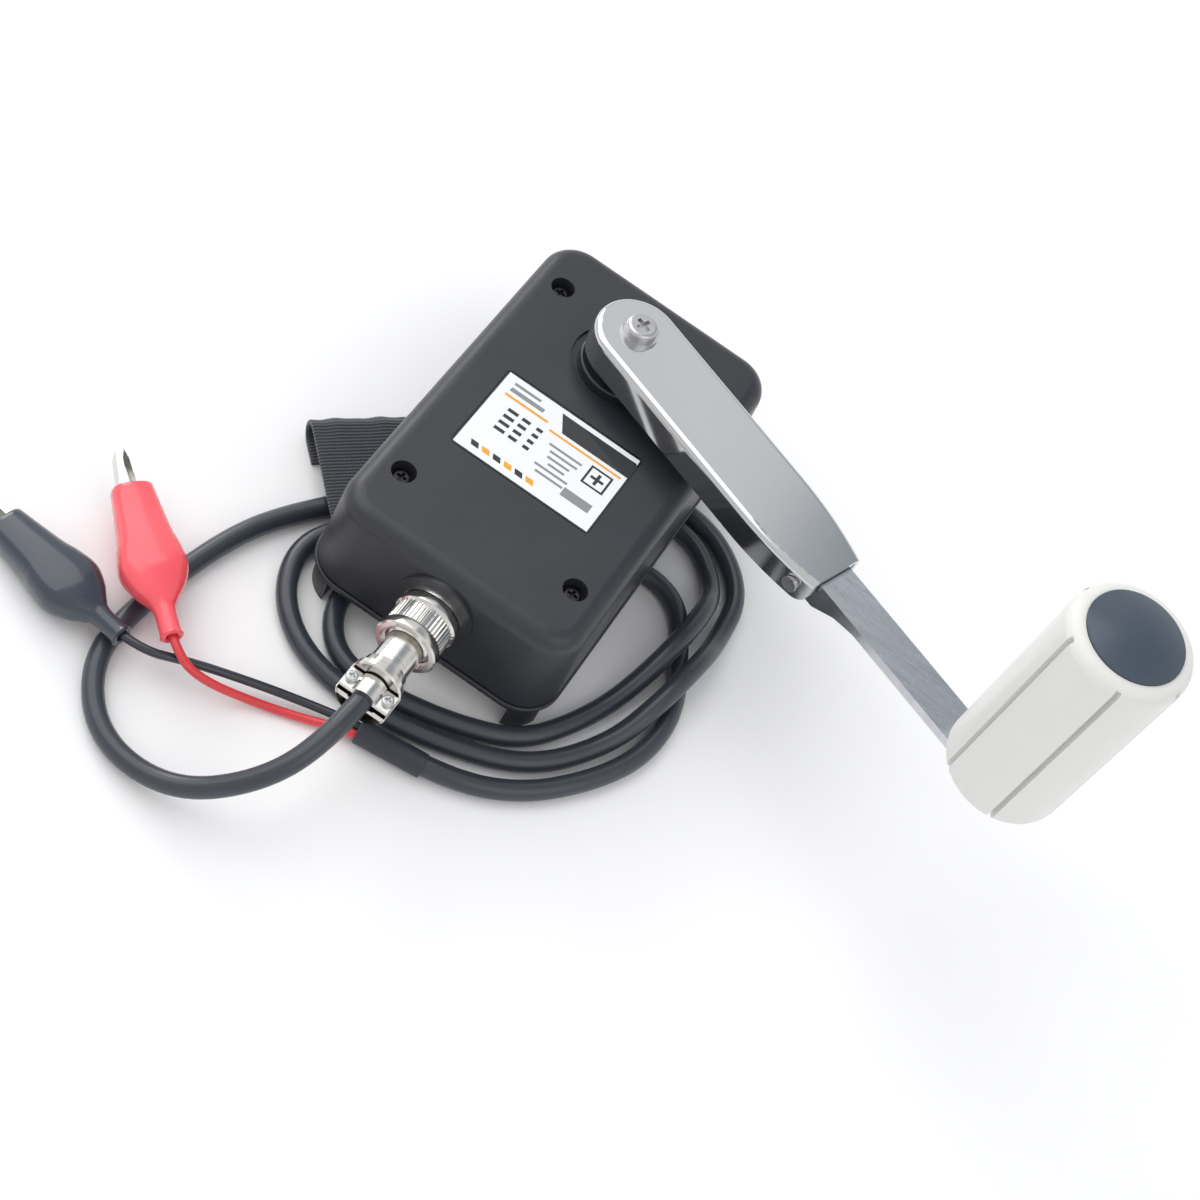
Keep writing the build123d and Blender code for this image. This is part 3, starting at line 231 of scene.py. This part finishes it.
# Plug and socket: nickel-plated turned brass, with fine lathe rings round the axis,
# on black phenolic inserts.
nickel = finish("nickel", (0.58, 0.565, 0.54), (0.84, 0.82, 0.79), (0.12, 0.26), 120.0, 900.0, 0.00002,
                stretch=(1.0, 9.0, 1.0), Metallic=1.0)
wear(["panel_socket", "socket_nut", "cable_clamp"], nickel)
phenolic = finish("phenolic", (0.012, 0.011, 0.010), (0.03, 0.028, 0.026), (0.4, 0.55), 150.0, 1400.0,
                  0.00004)
wear(["socket_insert", "plug_insert"], phenolic)

# Grip: off-white moulded ABS, slightly glossy. Its cap is dark slate plastic.
ivory = finish("ivory", (0.72, 0.72, 0.695), (0.76, 0.76, 0.735), (0.24, 0.40), 45.0, 1300.0, 0.00003)
slate = finish("slate", (0.040, 0.058, 0.082), (0.062, 0.084, 0.115), (0.20, 0.36), 60.0, 1500.0, 0.00005)
wear(["grip_cap"], slate)

# Works inside the housing: oiled steel gears, one nylon wheel, bronze bushes,
# the wound stator, the magnet ring and the rectifier board.
wear(["first_gear", "second_gear", "generator_pinion"],
     finish("gear_steel", (0.22, 0.22, 0.23), (0.42, 0.42, 0.43), (0.22, 0.40), 200.0, 1200.0, 0.00003,
            Metallic=1.0))
wear(["drive_gear"],
     finish("nylon", (0.62, 0.59, 0.50), (0.74, 0.71, 0.63), (0.36, 0.5), 80.0, 1000.0, 0.00005))
wear(["front_bearing", "rear_bearing", "rotor_bearings"],
     finish("bronze", (0.34, 0.20, 0.09), (0.55, 0.36, 0.18), (0.3, 0.5), 350.0, 1800.0, 0.00006,
            Metallic=1.0))
wear(["rotor_bell", "stator_base", "gear_plate"],
     finish("plate_steel", (0.35, 0.35, 0.36), (0.52, 0.52, 0.54), (0.25, 0.42), 150.0, 1200.0, 0.00003,
            Metallic=1.0))
wear(["rotor_magnets"],
     finish("magnet", (0.10, 0.10, 0.11), (0.20, 0.20, 0.21), (0.25, 0.4), 200.0, 1500.0, 0.00003,
            Metallic=0.8))
wear(["stator_core"],
     finish("laminations", (0.05, 0.08, 0.07), (0.10, 0.15, 0.13), (0.35, 0.5), 90.0, 400.0, 0.0001,
            stretch=(0.2, 0.2, 14.0), Metallic=0.4))
wear(["stator_windings"],
     finish("enamelled_copper", (0.34, 0.12, 0.04), (0.62, 0.28, 0.11), (0.2, 0.34), 120.0, 700.0,
            0.00015, stretch=(1.0, 1.0, 6.0), Metallic=0.9))
wear(["regulator_board"],
     finish("solder_mask", (0.01, 0.07, 0.03), (0.02, 0.12, 0.05), (0.25, 0.4), 180.0, 900.0, 0.00003))
wear(["board_components"],
     finish("component", (0.01, 0.01, 0.012), (0.04, 0.04, 0.045), (0.4, 0.55), 160.0, 900.0, 0.00003))

# Cable: one length of 6 mm round sheathed cable. It leaves the plug, drops in a
# wide loop, passes under the housing in two and a half turns and ends outside them.
sheath = finish("sheath", (0.026, 0.032, 0.043), (0.042, 0.050, 0.064), (0.26, 0.38), 40.0, 1500.0, 0.00006,
                Coat_Weight=0.15)
route = [(0.0, -0.0942, 0.0295), (0.0, -0.1120, 0.0295), (-0.0070, -0.1300, 0.0210),
         (-0.0260, -0.1410, 0.0070), (-0.0500, -0.1385, 0.0030), (-0.0655, -0.1210, 0.0030),
         (-0.0660, -0.0990, 0.0030), (-0.0610, -0.0690, 0.0030), (-0.0535, -0.0500, 0.0030),
         (-0.0360, -0.0250, 0.0030), (-0.0080, 0.0035, 0.0030), (0.0230, 0.0340, 0.0030),
         (0.0470, 0.0355, 0.0030), (0.0655, 0.0210, 0.0030), (0.0673, 0.0, 0.0030),
         (0.0665, -0.0140, 0.0098), (0.0635, -0.0340, 0.0098), (0.0585, -0.0500, 0.0030),
         (0.0445, -0.0710, 0.0030), (0.0220, -0.0810, 0.0030), (-0.0020, -0.0855, 0.0030),
         (-0.0240, -0.0825, 0.0030), (-0.0385, -0.0710, 0.0030), (-0.0440, -0.0550, 0.0030),
         (-0.0380, -0.0410, 0.0030), (-0.0210, -0.0225, 0.0030), (0.0030, 0.0012, 0.0030),
         (0.0270, 0.0265, 0.0030), (0.0450, 0.0280, 0.0030), (0.0580, 0.0160, 0.0030),
         (0.0593, 0.0010, 0.0098), (0.0575, -0.0180, 0.0098), (0.0530, -0.0360, 0.0030),
         (0.0465, -0.0520, 0.0030), (0.0375, -0.0660, 0.0030), (0.0200, -0.0740, 0.0030),
         (0.0, -0.0785, 0.0030), (-0.0160, -0.0775, 0.0030), (-0.0256, -0.0660, 0.0030),
         (-0.0258, -0.0500, 0.0030), (-0.0100, -0.0280, 0.0030), (0.0090, -0.0090, 0.0030),
         (0.0280, 0.0060, 0.0030), (0.0500, 0.0070, 0.0030), (0.0610, -0.0120, 0.0030),
         (0.0685, -0.0290, 0.0030), (0.0680, -0.0470, 0.0030), (0.0600, -0.0635, 0.0030),
         (0.0460, -0.0800, 0.0030), (0.0280, -0.0895, 0.0036), (0.0120, -0.0915, 0.0036)]


def cord_curve(name, points, radius, made):
    """A smooth free line through the route, as a tube."""
    curve = bpy.data.curves.new(name, "CURVE")
    curve.dimensions = "3D"
    curve.bevel_depth = radius
    curve.bevel_resolution = 6
    curve.resolution_u = 10
    curve.use_fill_caps = True
    spline = curve.splines.new("NURBS")
    spline.points.add(len(points) - 1)
    for point, place in zip(spline.points, points):
        point.co = (*place, 1.0)
    spline.order_u = 3
    spline.use_endpoint_u = True
    curve.materials.append(made)
    piece = bpy.data.objects.new(name, curve)
    bpy.context.collection.objects.link(piece)
    return piece


cable = cord_curve("cable", route, 0.003, sheath)
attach(cable, "housing")
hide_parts("cable_lead", "cable_coil")
wear(["heat_shrink"],
     finish("shrink_sleeve", (0.020, 0.024, 0.032), (0.036, 0.042, 0.054), (0.38, 0.52), 120.0, 900.0,
            0.0001))


# Skins: the grip, the plug, the boots and the strap are surfaces through rings of
# points. A corner of more than 40 degrees stays sharp.
def skin(name, shells, closed, made):
    """Smooth surfaces, each through its rings of points, capped at the ends unless closed."""
    grid = bmesh.new()
    for rings in shells:
        rows = [[grid.verts.new(point) for point in ring] for ring in rings]
        count = len(rows[0])
        pairs = list(zip(rows, rows[1:])) + ([(rows[-1], rows[0])] if closed else [])
        for first, second in pairs:
            for i in range(count):
                j = (i + 1) % count
                grid.faces.new((first[i], first[j], second[j], second[i]))
        if not closed:
            grid.faces.new(list(reversed(rows[0])))
            grid.faces.new(rows[-1])
    bmesh.ops.recalc_face_normals(grid, faces=grid.faces)
    for face in grid.faces:
        face.smooth = True
    mesh = bpy.data.meshes.new(name)
    grid.to_mesh(mesh)
    grid.free()
    mesh.set_sharp_from_angle(angle=math.radians(40))
    mesh.materials.append(made)
    piece = bpy.data.objects.new(name, mesh)
    bpy.context.collection.objects.link(piece)
    return piece


# Grip sleeve: a moulded shell with a middle boss for the spindle, a seat for the cap,
# rounded ends and six narrow grooves that run up to the rim's rounding. Sizes in mm.
crank_turn = math.radians(-20.7)
crank_reach = 0.1565
shaft_y = 0.0305
grip_x = crank_reach * math.cos(crank_turn)
grip_y = shaft_y + crank_reach * math.sin(crank_turn)
grip_low = 60.0
grip_rim = 129.5
grip_r = 17.0
end_round = 3.6
spindle_hole = 4.05
boss_r = 6.5
boss_top = 120.85
cavity_r = 12.0
floor_top = grip_low + 3.0
cap_seat = grip_rim - 2.0
groove_turn = math.radians(21.0)
groove_top = 128.0
groove_fade = 0.9
groove_deep = 1.9
groove_half = 0.80
groove_steps = (-12, -6, -2.7, -2.3, -1.1, 0, 1.1, 2.3, 2.7, 6, 12, 18, 24, 30, 36, 42)
turns = [math.radians(60 * k + step) for k in range(6) for step in groove_steps]
rounding = [math.radians(11.25 * k) for k in range(9)]
profile = [(spindle_hole, grip_low + 0.2), (4.3, grip_low)]
profile += [(grip_r - end_round * (1 - math.sin(a)), grip_low + end_round * (1 - math.cos(a)))
            for a in rounding]
profile += [(grip_r, grip_low + end_round + 2.5 * k) for k in range(1, 22)]
profile += [(grip_r, z) for z in (118.8, 121.4, 124.0)]
profile += [(grip_r - end_round * (1 - math.cos(a)), grip_rim - end_round * (1 - math.sin(a)))
            for a in rounding]
profile += [(13.14, grip_rim), (13.03, grip_rim - 0.1), (13.02, cap_seat), (cavity_r, cap_seat)]
profile += [(cavity_r, floor_top), (boss_r, floor_top), (boss_r, boss_top), (spindle_hole, boss_top)]
grip_rings = []
for radius, z in profile:
    ring = []
    fade = min(max((groove_top - z) / groove_fade, 0.0), 1.0)
    for a in turns:
        off = abs((math.degrees(a) + 30) % 60 - 30) * math.pi / 180 * grip_r
        cut = 0.0
        if radius > 13.2:
            cut = groove_deep * fade * max(0.0, 1 - (off / groove_half) ** 4)
        angle = a - groove_turn
        ring.append((grip_x + (radius - cut) * math.cos(angle) / 1000,
                     grip_y + (radius - cut) * math.sin(angle) / 1000, z / 1000))
    grip_rings.append(ring)
grip = skin("grip_shell", [grip_rings], True, ivory)
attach(grip, "grip")
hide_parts("grip_sleeve")


# Coupling ring: a smooth flange at each end and a knurled band of 44 ridges between
# them, turned in brass and nickel plated. It turns freely on the plug. Sizes in mm.
plug_z = 0.0295
ridges = 44
ridge_shape = (0.5, 0.5, -0.5, -0.5)
band = [(-67.2, 8.2, 0.0), (-67.2, 8.9, 0.0), (-67.6, 9.2, 0.0), (-69.6, 9.2, 0.0), (-70.2, 8.6, 0.0),
        (-70.3, 8.45, 0.32), (-76.2, 8.45, 0.32), (-76.3, 8.6, 0.0), (-77.2, 9.2, 0.0), (-79.4, 9.2, 0.0),
        (-79.8, 8.8, 0.0), (-79.8, 7.5, 0.0), (-78.6, 7.4, 0.0), (-78.6, 6.5, 0.0), (-77.4, 6.5, 0.0),
        (-77.4, 8.0, 0.0)]


def round_plug(y, spokes, sink=0.0):
    """A ring of points round the plug's axis, from pairs of a radius and an angle."""
    return [(r * math.cos(a) / 1000, y / 1000, plug_z + (r * math.sin(a) - sink) / 1000) for r, a in spokes]


ring_rings = []
for y, radius, knurl in band:
    spokes = []
    for k in range(ridges * 4):
        tooth = knurl * ridge_shape[k % 4]
        spokes.append((radius + tooth, 2 * math.pi * k / (ridges * 4)))
    ring_rings.append(round_plug(y, spokes))
ring_shell = skin("ring_shell", [ring_rings], True, nickel)
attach(ring_shell, "coupling_ring")
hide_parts("coupling_ring")

# Plug sleeve: turned brass, slimmer than the ring, widening to a collar, with a
# trough cast on its end that the cable lies in under the clamp. Sizes in mm.
lathe = [(-70.0, 6.3), (-78.5, 6.3), (-79.0, 5.5), (-88.6, 5.55), (-89.0, 6.2), (-91.6, 6.6), (-92.0, 7.4),
         (-93.6, 7.6), (-94.1, 7.2), (-94.1, 3.1), (-70.0, 3.1)]
round_steps = 64
around = [2 * math.pi * k / round_steps for k in range(round_steps)]
turned = [round_plug(y, [(radius, a) for a in around]) for y, radius in lathe]
trough_r = 7.7
trough_bore = 3.12
trough_sink = 0.35
half_turn = [math.pi * k / 23 for k in range(24)]
trough = []
for y, grow in ((-93.0, -0.3), (-93.2, 0.0), (-100.7, 0.0), (-101.0, -0.3)):
    outside = [(trough_r + grow, math.pi + a) for a in half_turn]
    inside_arc = [(trough_bore, 2 * math.pi - a) for a in half_turn]
    trough.append(round_plug(y, outside + inside_arc, trough_sink))
plug_shell = skin("plug_shell", [turned, trough], True, nickel)
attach(plug_shell, "housing")
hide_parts("plug_sleeve")


def between(stations, steps):
    """Points of a smooth curve through lists of numbers, some steps to each gap."""
    out = []
    last = len(stations) - 1
    for k in range(last):
        before, here, there, after = (stations[max(k - 1, 0)], stations[k], stations[k + 1],
                                      stations[min(k + 2, last)])
        for step in range(steps):
            t = step / steps
            out.append([0.5 * (2 * b + (c - a) * t + (2 * a - 5 * b + 4 * c - d) * t ** 2
                               + (3 * b - a - 3 * c + d) * t ** 3)
                        for a, b, c, d in zip(before, here, there, after)])
    out.append(list(stations[-1]))
    return out


# Clip boots: soft PVC, dipped and pulled over the clip. Each has a flared tail rim, a
# thin neck round the wire, a bulb over the finger plates and an open oblong nose.
# A row is the place along the boot, its width and its height, in mm.
boot_sizes = [(0.0, 6.4, 6.4), (2.5, 5.9, 5.9), (9.0, 6.6, 6.2), (14.5, 14.0, 9.6), (20.0, 18.4, 12.0),
              (26.0, 17.4, 12.0), (32.0, 14.6, 11.4), (46.0, 11.4, 9.4)]
boot_inside = [(46.0, 9.6, 7.6), (32.0, 12.7, 9.5), (26.0, 15.4, 10.1), (20.0, 16.4, 10.1), (14.5, 12.0, 7.7),
               (9.0, 4.8, 4.4), (3.5, 4.2, 4.2)]
neck_wide = 8
oblong = 0.74
boot_steps = 56


def boot(name, node, tail, way, made):
    """A boot from its tail along its way."""
    way = Vector(way).normalized()
    up = (Vector((0, 0, 1)) - way * way.z).normalized()
    side = up.cross(way)
    profile = [(3.5, 2.56, 2.56), (0.9, 2.6, 2.6), (0.1, 3.6, 3.6), (-0.1, 5.2, 5.2)]
    profile += between([(0.35, 6.5, 6.5)] + boot_sizes[1:], 8)
    profile += [(46.25, 11.0, 9.0), (46.3, 10.2, 8.2)] + between(boot_inside, 4)
    rings = []
    for x, wide, high in profile:
        power = 1.0 if wide < neck_wide else oblong
        ring = []
        for k in range(boot_steps):
            corner = 2 * math.pi * k / boot_steps
            c = math.cos(corner)
            s = math.sin(corner)
            y = math.copysign(abs(c) ** power, c) * wide / 2
            z = math.copysign(abs(s) ** power, s) * high / 2
            ring.append(Vector(tail) + (way * x + side * y + up * z) / 1000)
        rings.append(ring)
    piece = skin(name, [rings], True, made)
    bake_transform(piece)
    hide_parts(node)
    return piece


red_soft = finish("red_boot_pvc", (0.88, 0.060, 0.085), (0.98, 0.140, 0.170), (0.16, 0.26), 50.0, 900.0,
                  0.00005, Coat_Weight=0.4, Subsurface_Weight=0.25)
red_shader = red_soft.node_tree.nodes["Principled BSDF"]
red_shader.inputs["Subsurface Radius"].default_value = (0.006, 0.0015, 0.0015)
black_soft = finish("black_boot_pvc", (0.022, 0.030, 0.045), (0.040, 0.052, 0.072), (0.16, 0.26), 50.0, 900.0,
                    0.00005, Coat_Weight=0.4)
black_boot = boot("black_clip_boot", "black_boot", (-0.0617, -0.1136, 0.0094), (-0.972, 0.213, -0.0985),
                  black_soft)
red_boot = boot("red_clip_boot", "red_boot", (-0.0511, -0.1071, 0.0125), (-0.760, 0.649, 0.0), red_soft)

# Leads: two single insulated wires, each in its colour, from the sleeve to a clip.
black_pvc = finish("black_insulation", (0.018, 0.022, 0.032), (0.032, 0.038, 0.052), (0.20, 0.30), 60.0,
                   1200.0, 0.00004, Coat_Weight=0.3)
red_pvc = finish("red_insulation", (0.62, 0.030, 0.040), (0.76, 0.055, 0.060), (0.24, 0.34), 60.0, 1200.0,
                 0.00004, Coat_Weight=0.3)
black_run = [(0.00786, -0.09066, 0.0036), (-0.00206, -0.0919, 0.0036), (-0.0140, -0.0945, 0.0030),
             (-0.0270, -0.0990, 0.0042), (-0.0440, -0.1070, 0.0076), (-0.05684, -0.11467, 0.00989),
             (-0.06948, -0.1119, 0.00861)]
red_run = [(0.0082, -0.09334, 0.0036), (-0.00172, -0.09458, 0.0036), (-0.0120, -0.0980, 0.0015),
           (-0.0250, -0.1025, 0.0015), (-0.0385, -0.1095, 0.0073), (-0.04692, -0.11067, 0.0125),
           (-0.05718, -0.1019, 0.0125)]
for name, points, made, length, clip in (("black_lead", black_run, black_pvc, 0.0815, black_boot),
                                         ("red_lead", red_run, red_pvc, 0.0725, red_boot)):
    lead = cord_curve(name, points, 0.00125, made)
    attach(lead, "housing")
    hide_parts(name.replace("lead", "wire"))
wear(["inner_leads"], red_pvc)

# Clip jaws: pressed from nickel-plated sheet, bright with a slight yellow.
wear(["black_fixed_jaw", "black_moving_jaw", "red_fixed_jaw", "red_moving_jaw"],
     finish("clip_nickel", (0.62, 0.61, 0.58), (0.80, 0.79, 0.76), (0.20, 0.32), 160.0, 1400.0, 0.00003,
            Metallic=1.0))

# Hand strap: 39 mm nylon webbing, 1.6 mm thick. It is screwed under the back by a
# bar, leaves on the left, folds over at its end and comes back under itself.
webbing = finish("nylon_webbing", (0.016, 0.020, 0.028), (0.045, 0.054, 0.070), (0.62, 0.82), 140.0,
                 2400.0, 0.0002, Sheen_Weight=0.35)
weave = webbing.node_tree
cloth_shader = weave.nodes["Principled BSDF"]
along_cloth = weave.nodes.new("ShaderNodeUVMap")
along_cloth.uv_map = "cloth"
split = weave.nodes.new("ShaderNodeSeparateXYZ")
weave.links.new(along_cloth.outputs["UV"], split.inputs["Vector"])
waves = []
for axis, pitch in (("X", 0.00105), ("Y", 0.0013)):
    times = weave.nodes.new("ShaderNodeMath")
    times.operation = "MULTIPLY"
    times.inputs[1].default_value = 2 * math.pi / pitch
    wave = weave.nodes.new("ShaderNodeMath")
    wave.operation = "SINE"
    weave.links.new(split.outputs[axis], times.inputs[0])
    weave.links.new(times.outputs[0], wave.inputs[0])
    waves.append(wave)
ribs = weave.nodes.new("ShaderNodeMath")
ribs.operation = "MULTIPLY_ADD"
ribs.inputs[1].default_value = 0.22
weave.links.new(waves[1].outputs[0], ribs.inputs[0])
weave.links.new(waves[0].outputs[0], ribs.inputs[2])
rib_bump = weave.nodes.new("ShaderNodeBump")
rib_bump.inputs["Distance"].default_value = 0.00010
rib_bump.inputs["Strength"].default_value = 1.0
weave.links.new(ribs.outputs[0], rib_bump.inputs["Height"])
weave.links.new(weave.nodes["bump"].outputs["Normal"], rib_bump.inputs["Normal"])
weave.links.new(rib_bump.outputs["Normal"], cloth_shader.inputs["Normal"])
# Painted shade: the base colour is darkened to two thirds in the low parts of the ribs, following the same
# waves as the bump.
rib_groove_shade = weave.nodes.new("ShaderNodeMapRange")
rib_groove_shade.inputs["From Min"].default_value = -1.2
rib_groove_shade.inputs["From Max"].default_value = 1.2
rib_groove_shade.inputs["To Min"].default_value = 0.66
rib_groove_shade.inputs["To Max"].default_value = 1.0
shade = weave.nodes.new("ShaderNodeMix")
shade.data_type = "RGBA"
shade.blend_type = "MULTIPLY"
shade.inputs["Factor"].default_value = 1.0
weave.links.new(ribs.outputs[0], rib_groove_shade.inputs["Value"])
weave.links.new(weave.nodes["tone"].outputs["Result"], shade.inputs["A"])
weave.links.new(rib_groove_shade.outputs["Result"], shade.inputs["B"])
weave.links.new(shade.outputs["Result"], cloth_shader.inputs["Base Color"])

strap_half = 0.0195
strap_thick = 0.0016
edge_r = 0.0006
edge_angles = (0.8, 1.57, 2.34)
flat_points = 31
ring_points = 2 * (flat_points + len(edge_angles))
strap_turn = math.radians(135.5)
out_way = Vector((math.cos(strap_turn), math.sin(strap_turn), 0))
over = Vector((math.sin(strap_turn), -math.cos(strap_turn), 0))
sky_way = Vector((0, 0, 1))
leave = Vector((-0.0253, -0.0320, 0))
fold_r = 0.0038
fold_centre = leave + out_way * 0.033 + sky_way * 0.0049
bends = [(Vector((0, -0.0630, 0.0092)), Vector((1, 0, 0)), sky_way),
         (Vector((0, -0.0530, 0.0092)), Vector((1, 0, 0)), sky_way),
         (Vector((-0.0040, -0.0465, 0.0083)), Vector((math.cos(0.3), math.sin(0.3), 0)), sky_way),
         (Vector((-0.0130, -0.0400, 0.0075)), Vector((math.cos(0.6), math.sin(0.6), 0)), sky_way)]
for along, height in ((0.0, 0.0074), (0.018, 0.0076), (0.026, 0.0082)):
    bends.append((leave + out_way * along + sky_way * height, over, sky_way))
for angle in range(90, -91, -15):
    spoke = out_way * math.cos(math.radians(angle)) + sky_way * math.sin(math.radians(angle))
    bends.append((fold_centre + spoke * fold_r, over, spoke))
for along, height in ((0.030, 0.0010), (0.026, 0.00085)):
    bends.append((leave + out_way * along + sky_way * height, over, -sky_way))
strap_rings = []
strap_run = []
run = 0.0
before = None
for numbers in between([[*centre, *half, *normal] for centre, half, normal in bends], 5):
    centre = Vector(numbers[0:3])
    half = Vector(numbers[3:6]).normalized()
    normal = Vector(numbers[6:9]).normalized()
    if before is not None:
        run += (centre - before).length
    before = centre
    near_fold = max(0.0, 1 - (centre - fold_centre).length / 0.0065) * 2
    ring = []
    for k in range(flat_points):
        place = -1 + 2 * k / (flat_points - 1)
        ripple = near_fold * 0.00022 * (math.sin(place * 9.2 + 0.6) + 0.6 * math.sin(place * 17.0))
        ring.append(centre + half * (strap_half - edge_r) * place + normal * (strap_thick / 2 + ripple))
    ring += [centre + half * (strap_half - edge_r + edge_r * math.sin(a)) + normal * 0.0008 * math.cos(a)
             for a in edge_angles]
    for k in range(flat_points):
        place = 1 - 2 * k / (flat_points - 1)
        ring.append(centre + half * (strap_half - edge_r) * place - normal * strap_thick / 2)
    ring += [centre - half * (strap_half - edge_r + edge_r * math.sin(a)) - normal * 0.0008 * math.cos(a)
             for a in edge_angles]
    strap_rings.append(ring)
    strap_run.append(run)
strap = skin("strap", [strap_rings], False, webbing)
across = [(-1 + 2 * k / (flat_points - 1)) * strap_half for k in range(flat_points)]
across += [strap_half] * len(edge_angles)
across += [(1 - 2 * k / (flat_points - 1)) * strap_half for k in range(flat_points)]
across += [-strap_half] * len(edge_angles)
cloth_map = strap.data.uv_layers.new(name="cloth")
for loop in strap.data.loops:
    row = loop.vertex_index // ring_points
    cloth_map.data[loop.index].uv = (strap_run[row], across[loop.vertex_index % ring_points])
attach(strap, "housing")
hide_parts("hand_strap")

# Label: a printed film on the front cover. Its print is a plain pattern of bars, rules
# and ticks, with no words. A row is a centre, half sizes, a slant and a colour, in mm.
patch_mask = bpy.data.node_groups.new("patch", "ShaderNodeTree")
for socket in ("Vector", "Centre", "Half"):
    patch_mask.interface.new_socket(socket, in_out="INPUT", socket_type="NodeSocketVector")
patch_mask.interface.new_socket("Slant", in_out="INPUT", socket_type="NodeSocketFloat")
patch_mask.interface.new_socket("Mask", in_out="OUTPUT", socket_type="NodeSocketFloat")
p_in = patch_mask.nodes.new("NodeGroupInput")
p_out = patch_mask.nodes.new("NodeGroupOutput")
shift = patch_mask.nodes.new("ShaderNodeVectorMath")
shift.operation = "SUBTRACT"
parts = patch_mask.nodes.new("ShaderNodeSeparateXYZ")
halves = patch_mask.nodes.new("ShaderNodeSeparateXYZ")
lean = patch_mask.nodes.new("ShaderNodeMath")
lean.operation = "MULTIPLY_ADD"
patch_mask.links.new(p_in.outputs["Vector"], shift.inputs[0])
patch_mask.links.new(p_in.outputs["Centre"], shift.inputs[1])
patch_mask.links.new(shift.outputs[0], parts.inputs[0])
patch_mask.links.new(p_in.outputs["Half"], halves.inputs[0])
patch_mask.links.new(parts.outputs["Y"], lean.inputs[0])
patch_mask.links.new(p_in.outputs["Slant"], lean.inputs[1])
patch_mask.links.new(parts.outputs["X"], lean.inputs[2])
sides = []
for source, limit in ((lean.outputs[0], "X"), (parts.outputs["Y"], "Y")):
    size = patch_mask.nodes.new("ShaderNodeMath")
    size.operation = "ABSOLUTE"
    inside = patch_mask.nodes.new("ShaderNodeMath")
    inside.operation = "LESS_THAN"
    patch_mask.links.new(source, size.inputs[0])
    patch_mask.links.new(size.outputs[0], inside.inputs[0])
    patch_mask.links.new(halves.outputs[limit], inside.inputs[1])
    sides.append(inside)
both = patch_mask.nodes.new("ShaderNodeMath")
both.operation = "MULTIPLY"
patch_mask.links.new(sides[0].outputs[0], both.inputs[0])
patch_mask.links.new(sides[1].outputs[0], both.inputs[1])
patch_mask.links.new(both.outputs[0], p_out.inputs["Mask"])

print_film = finish("label_print", (0.80, 0.81, 0.83), (0.86, 0.87, 0.88), (0.16, 0.24), 40.0, 700.0, 0.00001,
                    Coat_Weight=0.5)
label = print_film.node_tree
label_at = label.nodes.new("ShaderNodeTexCoord")
ink = (0.012, 0.013, 0.016)
amber = (0.80, 0.36, 0.03)
grey = (0.24, 0.25, 0.27)
white = (0.84, 0.85, 0.86)
prints = [((-1.3, -9.8), (22.6, 16.4), 0.0, ink), ((-1.3, -9.8), (22.0, 15.7), 0.0, white),
          ((9.6, 1.2), (12.5, 3.1), 0.55, ink), ((-13.4, -1.5), (7.2, 0.45), 0.0, amber),
          ((7.4, -3.4), (12.0, 0.4), 0.0, amber), ((-14.6, 1.0), (5.6, 0.75), 0.0, grey),
          ((-15.8, 3.4), (4.4, 0.5), 0.0, grey)]
prints += [((-15.4 + 4.4 * (k % 3), -5.6 - 2.6 * (k // 3)), (1.7 - 0.35 * ((k * 7) % 3), 0.62), 0.0, ink)
           for k in range(12)]
prints += [((3.2 + 0.5 * (k % 2), -7.4 - 2.1 * k), (5.4 - 0.9 * ((k * 5) % 4), 0.42), 0.0, grey)
           for k in range(6)]
prints += [((-18.0 + 3.6 * k, -22.3), (1.25, 0.9), 0.5, amber if k % 2 else ink) for k in range(6)]
prints += [((14.4, -8.6), (3.6, 3.6), 0.0, ink), ((14.4, -8.6), (2.9, 2.9), 0.0, white),
           ((14.4, -8.6), (0.5, 2.1), 0.0, ink), ((14.4, -8.6), (2.1, 0.5), 0.0, ink),
           ((13.2, -18.6), (4.6, 1.6), 0.0, grey)]
under = label.nodes["tone"].outputs["Result"]
for (x, y), (wide, high), slant, colour in prints:
    mask = label.nodes.new("ShaderNodeGroup")
    mask.node_tree = patch_mask
    mask.inputs["Centre"].default_value = (x / 1000, y / 1000, 0)
    mask.inputs["Half"].default_value = (wide / 1000, high / 1000, 0)
    mask.inputs["Slant"].default_value = slant
    layer = label.nodes.new("ShaderNodeMix")
    layer.data_type = "RGBA"
    layer.inputs["B"].default_value = (*colour, 1)
    label.links.new(label_at.outputs["Object"], mask.inputs["Vector"])
    label.links.new(mask.outputs["Mask"], layer.inputs["Factor"])
    label.links.new(under, layer.inputs["A"])
    under = layer.outputs["Result"]
label.links.new(under, label.nodes["Principled BSDF"].inputs["Base Color"])
wear(["rating_label"], print_film)
